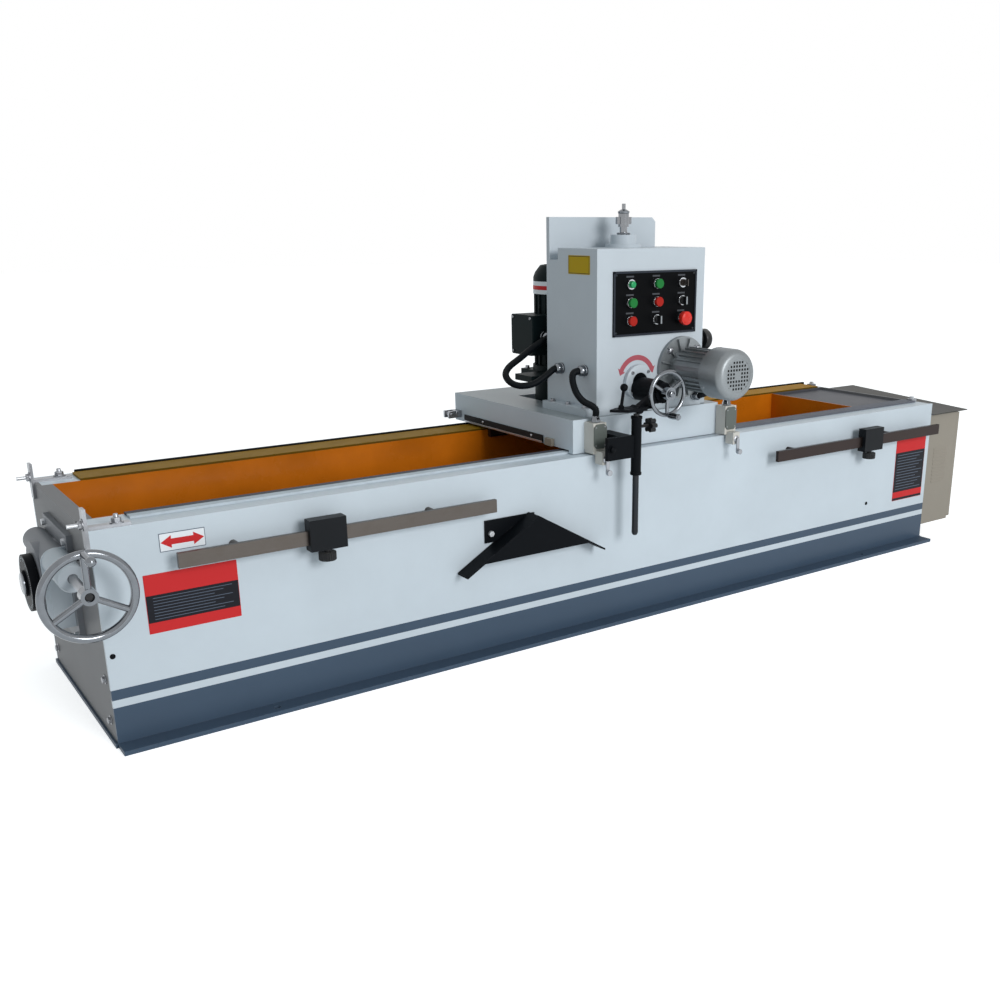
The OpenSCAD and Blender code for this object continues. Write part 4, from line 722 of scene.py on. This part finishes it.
def cabinet_dress():
    """Louvres on the cabinet's front and a turn latch on its door."""
    low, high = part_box("cabinet_box")
    door_low, door_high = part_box("cabinet_door")
    count, pitch, half, tilt = 10, 15, 42, Matrix.Rotation(math.radians(-14), 4, "X")
    start = Vector(((low.x + door_low.x) / 2, low.y, low.z + 0.36 * (high.z - low.z)))
    louvre = [(-half, -5), (half, -5), (half, 4), (-half, 4)]
    make("cabinet_louvres", BEIGE, "bed", "beige_paint", 0.4,
         *[(add_prism, louvre, facing(off(start, 0, 0, k * pitch)) @ tilt, 1.2) for k in range(count)])
    pivot = Vector((door_high.x, low.y + 36 * MM, (door_low.z + door_high.z) / 2))
    make("door_latch", BLACK_MOULD, "door", "black_plastic", 1,
         (add_turned, [(0, 0), (15, 0), (15, 3), (12, 5), (0, 5)], off(pivot, -6, 0, 0), RIGHT, 40),
         (add_box, pivot, (-2, -4, -22), (8, 4, 22)))


# Carriage


def carriage_dress():
    """The wiper on the carriage's left side with its strip and screws, the end clevis and the felt block."""
    corner = Vector((CARRIAGE_LOW.x, BED_FRONT, CARRIAGE_HIGH.z - 96 * MM))
    front, rear = 196, 686
    make("way_wiper", RUBBER, "carriage", "conduit_black", 1,
         (add_box, corner, (-5, front, 2), (0, rear, 27)))
    make("wiper_strip", ZINC, "carriage", "steel", 0.4, (add_box, corner, (-7, front, 2), (-5, rear, 8)))
    make("wiper_screws", ZINC, "carriage", "steel", 0,
         *[(add_pan_screw, off(corner, -5, y, 17), LEFT, 5) for y in (260, 560)])
    root = off((CARRIAGE_LOW.x, BED_FRONT, 0), 0, 712, 585)
    cheek, web, reach, width, tall = 10, 22, 52, 40, 25
    make("chain_clevis", ZINC, "carriage", "steel", 1.2, (add_box, root, (-web, 0, 0), (0, width, tall)),
         *[(add_box, root, (-reach, y, 0), (-web, y + cheek, tall)) for y in (0, width - cheek)],
         (add_turned, rod(7, 48), off(root, 12 - reach, -4, tall / 2), -FRONT, 24))
    make("felt_block", BEIGE, "carriage", "beige_paint", 1.5, (add_box, corner, (-12, 135, 0), (0, 175, 24)))


def head_fasteners():
    """Bolts through the head's foot flanges."""
    inset, foot = 16 * MM, 24
    make("foot_bolts", ZINC, "carriage", "steel", 0.4,
         *[(add_bolt, off((x, HEAD_FRONT, CARRIAGE_HIGH.z), 0, y, foot), UP, 8, 7)
           for x in (HEAD_LOW.x + inset, HEAD_HIGH.x - inset) for y in (40, 130, 215)])


def turning_arrow(radius, half_width, barb, start, end, steps=26, tip=14):
    """The outline of a curved arrow with a head at both ends."""
    def across(angle, lead):
        return [polar(radius + barb, angle), polar(radius, angle + lead), polar(radius - barb, angle)]
    arc = [start + (end - start) * k / steps for k in range(steps + 1)]
    return [*[polar(radius + half_width, a) for a in arc], *across(end, tip),
            *[polar(radius - half_width, a) for a in reversed(arc)], *reversed(across(start, -tip))]


def head_markings():
    """The blank yellow plate at the left, and the red turning arrow round the feed flange with its screws."""
    thickness = 0.8
    place = facing(off((HEAD_LEFT, HEAD_FRONT, 0), 0, 92, 1124), FRONT)
    make("side_plate", PRINT_YELLOW, "carriage", "white_paint", 0, (add_plate, place, 112, 56, thickness, 3))
    rules = ((0, 25, 106, 1.6), (0, -25, 106, 1.6), (52, 0, 1.6, 50), (-52, 0, 1.6, 50))
    make("side_plate_border", PRINT_DARK, "carriage", "black_plastic", 0,
         *[(add_plate, lifted(place, x, y, thickness), w, h, 0.2, 0.3) for x, y, w, h in rules])
    on_head = at_depth("feed_handwheel", HEAD_FRONT)
    make("turning_arrow", PRINT_ROSE, "carriage", "signal_red", 0,
         (add_prism, turning_arrow(69, 8, 16, 28, 152), facing(off(on_head, -2, 0, 27)), 0.5))
    bore, out, centre = 30, 17, off(on_head, 0, 0, 20)
    flange = [(bore, 0), (53, 0), (55, 2), (55, 14), (51, out), (bore, out), (bore, 0)]
    make("feed_flange", WHITE, "carriage", "white_paint", 0.6, (add_turned, flange, centre, FRONT, 64))
    spots = [polar(45, a) for a in QUARTERS]
    make("feed_flange_screws", ZINC, "carriage", "steel", 0,
         *[(add_socket_screw, off(centre, x, -out, z), FRONT, 5, 5) for x, z in spots])


def panel_dress():
    """The panel's rim and screws, its bright bezels, blank tags and lamp."""
    centre, corner = at_depth("control_panel", PANEL_FACE), Vector((PANEL_LOW.x, PANEL_FACE, PANEL_LOW.z))
    width, height = (PANEL_HIGH.x - PANEL_LOW.x) / MM, (PANEL_HIGH.z - PANEL_LOW.z) / MM
    rim, proud, inset = 6.5, 2.5, 11
    bars = ((0, width, height - rim, height), (0, width, 0, rim),
            (0, rim, 0, height), (width - rim, width, 0, height))
    make("panel_rim", PANEL_RIM, "carriage", "black_metal", 0.8,
         *[(add_box, corner, (x0, -proud, z0), (x1, 0, z1)) for x0, x1, z0, z1 in bars])
    make("panel_screws", STEEL_ROD, "carriage", "steel", 0,
         *[(add_pan_screw, off(centre, sx * (width / 2 - inset), 0, sz * (height / 2 - inset)), FRONT, 4)
           for sx, sz in SIGNS])
    spots = [off(centre, x, 0, 4 + z) for z in (55, 0, -55) for x in (-105, 0, 105)]
    bezel = [(11.2, 0), (16.5, 0), (16.5, 3), (15.2, 9.4), (11.2, 9.4), (11.2, 0)]
    make("switch_bezels", BEZEL, "carriage", "chrome", 0.3,
         *[(add_turned, bezel, spot, FRONT) for spot in spots])
    make("switch_tags", PRINT_DIM, "carriage", "black_metal", 0,
         *[(add_plate, facing(off(spot, 0, 0, 23)), 30, 5, 0.4, 0.8) for spot in spots])
    dome = [(10.4 * x, 17 + 4 * z) for x, z in (polar(1, 11.25 * k) for k in range(8))]
    make("run_lamp", GREEN_CAP, "carriage", "signal_green", 0,
         (add_turned, [(10.8, 8), *dome, (0, 21)], spots[0], FRONT, 40))


def button_caps():
    """Push-button heads that clear their bezels when pressed, the stop's crown, the selectors' lines."""
    head = [(0, 9), (10.7, 9), (10.7, 14.6), (14.2, 14.6), (15, 15.6), (15, 20), (14, 21.6), (11, 22),
            (0, 21.4)]
    for job, finish, slot in (("start", GREEN_HEAD, "signal_green"), ("stop", RED_HEAD, "signal_red")):
        for drive in ("wheel", "travel"):
            node = f"{drive}_{job}_button"
            make(f"{node}_face", finish, f"{drive}_{job}", slot, 0,
                 (add_turned, head, at_depth(node, PANEL_FACE), FRONT, 40))
    low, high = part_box("emergency_stop")
    radius = (high.x - low.x) / 2 / MM
    crown = [(0, 2.4), (0.35, 2.2), (0.7, 1.2), (0.93, -1.2), (1.02, -5), (1.02, -12), (0.95, -15)]
    make("stop_mushroom_crown", RED_CAP, "stop_mushroom", "signal_red", 0,
         (add_turned, [(share * radius, z) for share, z in crown], at_depth("emergency_stop", low.y), FRONT))
    for use in ("speed", "mode"):
        node = f"{use}_selector"
        low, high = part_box(node)
        make(f"{node}_line", PRINT_PALE, f"{use}_knob", "white_paint", 0,
             (add_plate, facing(at_depth(node, low.y)), 5, 0.9 * (high.z - low.z) / MM, 0.4, 1))


def grille_bars(origin):
    """A sheet in square cells, with a square hole in each cell between a blank middle and the edge."""
    pitch, hole, reach, blank, pierced, back, front = 11.6, 7, 56, 10, 48, -0.4, -1.8
    half, inner, parts = pitch / 2, hole / 2, []
    cells = [(k - 4.5) * pitch for k in range(10)]
    for x, z in ((x, z) for x in cells for z in cells):
        if math.hypot(x, z) > reach:
            continue
        bars = [(-half, half, -half, half)]
        if blank < math.hypot(x, z) < pierced:
            bars = [(-half, -inner, -half, half), (inner, half, -half, half),
                    (-inner, inner, -half, -inner), (-inner, inner, inner, half)]
        parts += [(add_box, origin, (x + x0, front, z + z0), (x + x1, back, z + z1))
                  for x0, x1, z0, z1 in bars]
    return parts


def motor_dress():
    """The fan cover with its square holes, the flange ribs and the bolts of the traverse motor."""
    low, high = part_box("traverse_motor")
    flange_proud, seat_in = 12 * MM, 46 * MM
    depths = (low.y, HEAD_FRONT - flange_proud, high.y - seat_in)
    fan, flange, seat = (at_depth("traverse_motor", y) for y in depths)
    cover_back, radius = off(fan, 0, 92, 0), 79.5
    cover = [(78.2, 0), (radius, 0), (radius, 72), (78.6, 77), (75.5, 83.5), (71.5, 88.5), (67.5, 91.8),
             (62, 93.6), (52, 94.4), (52, 92.6), (56, 92.6)]
    make("fan_cover", SILVER, "carriage", "motor_silver", 0, (add_turned, cover, cover_back, FRONT, 72))
    # painted shade: a dark disc behind the grille for the inside of the fan cover
    make("fan_shadow", PAINTED_RECESS_SHADE, "carriage", "black_plastic", 0,
         (add_turned, [(0, 0.3), (54, 0.3), (54, 0.1)], fan, FRONT, 56))
    make("fan_grille", SILVER, "carriage", "motor_silver", 0, *grille_bars(fan))
    rib, ribs = [(-20, -2.5), (20, -2.5), (20, 2.5), (-20, 2.5)], []
    for k in range(12):
        x, z = polar(1, 15 + 30 * k)
        ribs.append((add_prism, rib, facing(off(flange, 75 * x, 0, 75 * z), (x, 0, z), (-z, 0, x)), 9))
    make("flange_ribs", SILVER, "carriage", "motor_silver", 0.8, *ribs)
    bolts = [(add_bolt, off(seat, x, 0, z), FRONT, 9, 8) for x, z in (polar(82, a) for a in QUARTERS)]
    for x, z in (polar(1, a) for a in (90, 210, 330)):
        sunk = radius - 0.3
        bolts.append((add_pan_screw, off(cover_back, sunk * x, -14, sunk * z), (x, 0, z), 4))
    make("motor_bolts", ZINC, "carriage", "steel", 0.3, *bolts)


def limit_switch_dress():
    """Lids, screws and gland nuts of the two limit switches."""
    head_front, lid_front, gland_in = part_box("limit_switches")[0].y, -48, -25.5
    lid_z, gland_z, pivot_z, lid_depth = 619, 660, 552 * MM, 4
    hub = [(0, 0), (12, 0), (12, 2), (9, 4), (0, 4)]
    gland = [(0, 0), (15, 0), (15, 9), (13, 12), (12, 20), (0, 20)]
    lid = rounded_outline(width=49, height=76, radius=10, steps=1)
    lids, screws, glands = [], [], []
    for x in (mid(f"switch_lever_{side}").x for side in ("left", "right")):
        foot = Vector((x, CARRIAGE_LOW.y, 0))
        lids.append((add_prism, lid, facing(off(foot, 0, lid_front, lid_z)), lid_depth))
        screws += [(add_pan_screw, off(foot, sx, lid_front - lid_depth, z), FRONT, 2.4)
                   for z in (591, 647) for sx in (-17, 17)]
        screws.append((add_turned, hub, (x, head_front, pivot_z), FRONT, 32))
        glands.append((add_turned, gland, off(foot, 0, gland_in, gland_z), UP, 6))
    make("switch_lids", SWITCH_COVER, "carriage", "motor_silver", 0.8, *lids)
    make("switch_screws", ZINC, "carriage", "steel", 0.2, *screws)
    make("switch_glands", BRIGHT, "carriage", "chrome", 0.4, *glands)


def rod_dress():
    """Collars on the guide tube, the clamp bolt of its arm, and the push rod's rounded nose."""
    tube_low, tube_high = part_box("rod_bracket")
    bore, outer, flare, tall, lip = 10.5, 17, 18, 9, 1.5
    collar = [(bore, 0), (outer, 0), (flare, lip), (flare, tall - lip), (outer, tall),
              (bore, tall), (bore, 0)]
    make("tube_collars", BLACKED, "carriage", "black_metal", 0,
         *[(add_turned, collar, at_height("push_rod", z), UP, 40)
           for z in (tube_low.z, tube_high.z - tall * MM)])
    arm = Vector((tube_low.x, mid("push_rod").y, mid("rod_bracket").z))
    make("arm_bolt", BLACKED, "carriage", "black_metal", 0.3, (add_bolt, off(arm, 16, -7, 0), FRONT, 10, 8))
    nose = [(10.3, 30), (10.3, 10), (7.6, 2.6), (4.2, 0.4), (0, 0)]
    make("rod_nose", STEEL_ROD, "rod", "steel", 0,
         (add_turned, nose, at_height("push_rod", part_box("push_rod")[0].z), UP, 32))


def feed_dress():
    """The feed's ratchet rim and ball-ended release lever, and the hub nut and grip of its wheel."""
    on_bed = at_depth("feed_handwheel", BED_FRONT)
    teeth, tip, root = 30, 33, 29
    outline = []
    for k in range(teeth):
        outline += [polar(tip, 360 * k / teeth), polar(root, 360 * (k + 0.85) / teeth)]
    make("feed_ratchet", BLACKED, "feed_wheel", "black_metal", 0,
         (add_prism, outline, facing(off(on_bed, 0, -83, 0)), 5))
    ball_r, ball_up, lean = 12, 64, (12, 0, 68)
    ball = [(x, ball_up + z) for x, z in (polar(ball_r, 12 * k - 66) for k in range(13))]
    lever = [(0, 0), (9, 0), (9, 8), (5.2, 12), (4.8, ball_up - ball_r), *ball, (0, ball_up + ball_r)]
    make("pawl_release", BLACKED, "pawl", "black_metal", 0,
         (add_turned, lever, off((CARRIAGE_LOW.x, BED_FRONT, 0), 100, -75, 709.5), lean, 28))
    grip = [(7.4, 0), (9, 6), (10, 22), (8.6, 38), (9.8, 46), (7, 49.5), (0, 50.4)]
    make("feed_wheel_grip", BRIGHT, "feed_wheel", "chrome", 0.3,
         (add_bolt, off(on_bed, 0, -121, 0), FRONT, 10, 8),
         (add_turned, grip, off(on_bed, 0, -112, -66.5), FRONT, 36))


def head_fittings():
    """Rings of the feed screw's capstan, and the round black cap on a stem at the head's right side."""
    neck, top = (at_height("feed_screw", z) for z in (HEAD_HIGH.z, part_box("feed_screw")[1].z))
    collar = [(12.3, 0), (21, 0), (22, 2), (22, 5), (15, 7), (12.3, 7), (12.3, 0)]
    crown = [(17.2, -6), (18.6, -3), (18.6, 1), (12, 5), (8, 7), (6.2, 7)]
    make("capstan_rings", BRIGHT, "screw", "chrome", 0.2,
         (add_turned, collar, off(neck, 0, 0, 0.5), UP, 40),
         (add_turned, crown, off(top, 0, 0, -24), UP, 40))
    cap = [(0, 0), (24, 0), (24, 4), (20, 6), (20, 22), (32, 24), (34, 27), (34, 45), (30, 51),
           (24, 53), (0, 53)]
    make("side_cap", BLACK_MOULD, "carriage", "black_plastic", 0,
         (add_turned, cap, off((HEAD_RIGHT, HEAD_FRONT, 0), 0, 35, 877), RIGHT))


# Grinding head


def grinder_dress():
    """The fan hood with painted shade for its slots, the plain band, the terminal lid and the bolts of the
    grinding motor.
    """
    low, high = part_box("grinding_motor")
    foot, base, peak = (at_height("cup_wheel", z) for z in (0, low.z, high.z))
    radius = 94
    hood = [(radius - 6, 0), (radius + 1.8, 0), (radius + 1.8, 24), (radius - 4, 40), (radius - 22, 63.5),
            (20, 64.5), (0, 64.5)]
    make("motor_hood", GREEN, "grinding_head", "motor_green", 0,
         (add_turned, hood, off(peak, 0, 0, -64), UP, 72))
    for name, low_z, tall, proud, finish, slot in (
            ("motor_band", 1020, 41, 2.2, PRINT_WHITE, "white_paint"),
            ("motor_band_stripe", 1034, 13, 2.8, PRINT_RED, "signal_red")):
        band = [(radius - 1, 0), (radius + proud, 0), (radius + proud, tall), (radius - 1, tall)]
        make(name, finish, "grinding_head", slot, 0.3, (add_turned, band, off(foot, 0, 0, low_z), UP, 72))
    lid_depth, lid = 4, off((low.x, base.y, low.z), 0, 0, 125)
    make("terminal_lid", GREEN, "grinding_head", "motor_green", 1.5,
         (add_plate, facing(lid, FRONT), 128, 132, lid_depth, 8))
    make("grinder_bolts", ZINC, "grinding_head", "steel", 0.3,
         *[(add_socket_screw, off(lid, -lid_depth, sy * 52, sz * 56), LEFT, 4.5, 4) for sy, sz in SIGNS],
         *[(add_bolt, off(base, sx * 86, sy * 86, 0), UP, 8, 8) for sx, sy in SIGNS])
    # the slots are thin dark strips on the hood: painted shade, not openings
    slots = [(y, math.sqrt(58 ** 2 - y * y)) for y in (-44, -22, 0, 22, 44)]
    make("hood_slots", PAINTED_RECESS_SHADE, "grinding_head", "black_plastic", 0,
         *[(add_box, peak, (-span, y - 4, 0.4), (span, y + 4, 1.4)) for y, span in slots])


def slide_fasteners():
    """Screws in the column's gibs."""
    root = Vector((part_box("head_slide")[0].x, COLUMN_HIGH.y, COLUMN_LOW.z))
    first, pitch, radius, tall = 70, 88, 6, 5
    make("gib_screws", ZINC, "carriage", "steel", 0,
         *[(add_socket_screw, off(root, x, 0, first + pitch * k), -FRONT, radius, tall)
           for x in (98, 282) for k in range(5)])


# Conduits


def smooth_route(points, steps):
    """Points of a smooth curve through a given route."""
    line = []
    for i in range(len(points) - 1):
        a, b = points[max(i - 1, 0)], points[i]
        c, d = points[i + 1], points[min(i + 2, len(points) - 1)]
        for s in (k / steps for k in range(steps)):
            bend, twist = 2 * a - 5 * b + 4 * c - d, 3 * b - a - 3 * c + d
            line.append(0.5 * (2 * b + (c - a) * s + bend * s ** 2 + twist * s ** 3))
    return line + [points[-1]]


def evenly(line, spacing):
    """The same line with its points at even distances, and its length."""
    lengths = [0.0]
    for a, b in zip(line, line[1:]):
        lengths.append(lengths[-1] + (b - a).length)
    count = max(round(lengths[-1] / spacing), 2)
    points, at = [], 0
    for k in range(count + 1):
        goal = lengths[-1] * k / count
        while at < len(line) - 2 and lengths[at + 1] < goal:
            at += 1
        span = lengths[at + 1] - lengths[at]
        points.append(line[at].lerp(line[at + 1], (goal - lengths[at]) / span if span else 0.0))
    return points, lengths[-1]


def ribbed_tube(points, radius, rib, sides=18):
    """A corrugated tube: the radius swells and narrows from ring to ring."""
    shape = bmesh.new()
    rings = []
    normal = None
    for i, centre in enumerate(points):
        along = (points[min(i + 1, len(points) - 1)] - points[max(i - 1, 0)]).normalized()
        if normal is None:
            normal = along.orthogonal().normalized()
        normal = (normal - along * normal.dot(along)).normalized()
        side = along.cross(normal)
        size = radius - rib * (i % 2)
        spokes = [polar(1, 360 * k / sides) for k in range(sides)]
        rings.append([shape.verts.new(centre + size * (x * normal + y * side)) for x, y in spokes])
    skin(shape, rings)
    shape.faces.new(list(reversed(rings[0])))
    shape.faces.new(rings[-1])
    return shape


def in_frame(route):
    """A route measured from the carriage's left side, the bed's front and the bed's top."""
    return [off((CARRIAGE_LOW.x, BED_FRONT, BED_TOP), *point) for point in route]


CONDUIT_RADIUS = 11 * MM
RIB_DEPTH = 1.1 * MM
RIB_SPACING = 2.4 * MM
CURVE_STEPS = 12
LEFT_SWITCH_ROUTE = in_frame([
    (97.7, 105, 246), (70, 105, 246), (48, 100, 240), (38, 88, 218), (38, 68, 185), (46, 44, 162),
    (60, 20, 150), (68, 9.5, 138), (68, 9.5, 114.3)])
RIGHT_SWITCH_ROUTE = in_frame([
    (622, 9.5, 114.3), (622, 9.5, 136), (614, 11, 150), (596, 14, 157), (572, 17, 156), (545, 18, 150),
    (520, 18, 145), (507, 24, 142), (506, 44.7, 142)])
MOTOR_ROUTE = in_frame([
    (97.7, 231, 241), (70, 231, 241), (30, 232, 217), (-8, 238, 198), (-45, 255, 193), (-66, 280, 202),
    (-66, 310, 222), (-38, 334, 243), (16, 346, 269), (66, 352, 296), (106, 352, 316), (130, 356, 324),
    (137, 366, 326), (137, 386.7, 326)])


def conduit(name, route, nodes, blend_to=None):
    """A ribbed conduit in place of its plain solid."""
    points, length = evenly(smooth_route(route, CURVE_STEPS), RIB_SPACING)
    shape = ribbed_tube(points, CONDUIT_RADIUS, RIB_DEPTH)
    if blend_to is None:
        made = piece(name, shape, CONDUIT, "carriage")
    else:
        made = new_object(name, shape, CONDUIT)
        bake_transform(made)
    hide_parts(*nodes)


def conduit_fittings():
    """Bright screwed fittings where the conduits meet the head, and the gland on the motor's terminal box."""
    profile = [(0, 0), (18, 0), (18, 5), (16.5, 6), (17, 12), (16.5, 20), (13.4, 24), (12, 26), (11.2, 26)]
    ends = ((LEFT_SWITCH_ROUTE[0], LEFT), (MOTOR_ROUTE[0], LEFT), (RIGHT_SWITCH_ROUTE[-1], FRONT))
    make("conduit_fittings", BRIGHT, "carriage", "chrome", 0.4,
         *[(add_turned, profile, *end, 40) for end in ends])
    make("motor_gland", BRIGHT, "grinding_head", "chrome", 0.4,
         (add_turned, profile, off(MOTOR_ROUTE[-1], 0, 0.4, 0), FRONT, 40))


conduit("left_switch_conduit", LEFT_SWITCH_ROUTE, ["switch_conduits"])
conduit("right_switch_conduit", RIGHT_SWITCH_ROUTE, ["switch_conduits"])
conduit("grinder_conduit", MOTOR_ROUTE, ["motor_conduit"], "grinding_head")
conduit_fittings()
bed_labels()
bed_hardware()
gearbox_dress()
dial_dress()
handwheel_dress()
dog_dress("dog_screw_left", "left_thumb_screw")
dog_dress("dog_screw_right", "right_thumb_screw")
cabinet_dress()
carriage_dress()
head_fasteners()
head_markings()
panel_dress()
button_caps()
motor_dress()
limit_switch_dress()
rod_dress()
feed_dress()
head_fittings()
grinder_dress()
slide_fasteners()


# Stage, light and camera


def shows_backdrop(tree):
    """1 for the rays that show the backdrop: the camera's, and those of bright metal and glass."""
    rays = put(tree, "ShaderNodeLightPath").outputs
    shown = maths(tree, "MAXIMUM", rays["Is Camera Ray"], rays["Is Glossy Ray"])
    return maths(tree, "MAXIMUM", shown, rays["Is Transmission Ray"])


def pale_floor():
    """A pale floor that keeps the soft shadow and looks white to the camera and to bright metal."""
    half, glow = 30.0, 0.68
    mesh = bpy.data.meshes.new("studio_floor")
    corners = [(-half, -half, 0), (half, -half, 0), (half, half, 0), (-half, half, 0)]
    mesh.from_pydata(corners, [], [(0, 1, 2, 3)])
    floor = add_object("studio_floor", mesh)
    material, tree, inputs = shaded("pale_floor")
    feed(tree, inputs, {"Base Color": (0.86, 0.87, 0.88, 1), "Roughness": 0.9, "Emission Color": (1, 1, 1, 1),
                        "Emission Strength": maths(tree, "MULTIPLY", shows_backdrop(tree), glow)})
    mesh.materials.append(material)


def studio_world():
    """White to the camera, glass and bright metal; a soft pale fill for everything else."""
    world = bpy.data.worlds.new("studio")
    scene.world = world
    world.use_nodes = True
    tree = world.node_tree
    tree.nodes.clear()
    seen = put(tree, "ShaderNodeBackground", Color=(1, 1, 1, 1), Strength=1.0)
    fill = put(tree, "ShaderNodeBackground", Color=(0.88, 0.97, 1.0, 1), Strength=0.46)
    join = put(tree, "ShaderNodeMixShader")
    feed(tree, join.inputs, {0: shows_backdrop(tree), 1: fill.outputs[0], 2: seen.outputs[0]})
    put(tree, "ShaderNodeOutputWorld", Surface=join.outputs[0])


def soft_lamp(name, place, target, size, power):
    """A square soft box that looks at a point."""
    data = bpy.data.lights.new(name, "AREA")
    data.energy = power
    data.size = size
    lamp = add_object(name, data)
    lamp.location = place
    lamp.rotation_euler = (Vector(target) - Vector(place)).to_track_quat("-Z", "Y").to_euler()


def photo_camera():
    """The camera solved from the bed's edges in the photograph."""
    place = Vector((-2.0912, -2.9673, 1.2415))
    yaw, pitch, roll = math.radians(36.05), math.radians(17.52), math.radians(-0.07)
    focal_pixels, centre_u, centre_v = 1076.2, 574.2, 564.5
    data = bpy.data.cameras.new("photo_camera")
    data.sensor_width = 36.0
    data.lens = focal_pixels / PHOTO_SIDE * data.sensor_width
    data.shift_x = (PHOTO_SIDE / 2 - centre_u) / PHOTO_SIDE
    data.shift_y = (centre_v - PHOTO_SIDE / 2) / PHOTO_SIDE
    data.clip_end = 100.0
    camera = add_object("photo_camera", data)
    camera.location = place
    ahead = Vector((math.sin(yaw) * math.cos(pitch), math.cos(yaw) * math.cos(pitch), -math.sin(pitch)))
    camera.rotation_mode = "QUATERNION"
    level = Matrix.Rotation(roll, 4, "Z").to_quaternion()
    camera.rotation_quaternion = ahead.to_track_quat("-Z", "Y") @ level
    scene.camera = camera


pale_floor()
studio_world()
soft_lamp("front_soft_box", (0.7, -8.6, 3.6), (0.0, -0.2, 0.6), 3.2, 430)
photo_camera()
scene.view_settings.view_transform = "Standard"
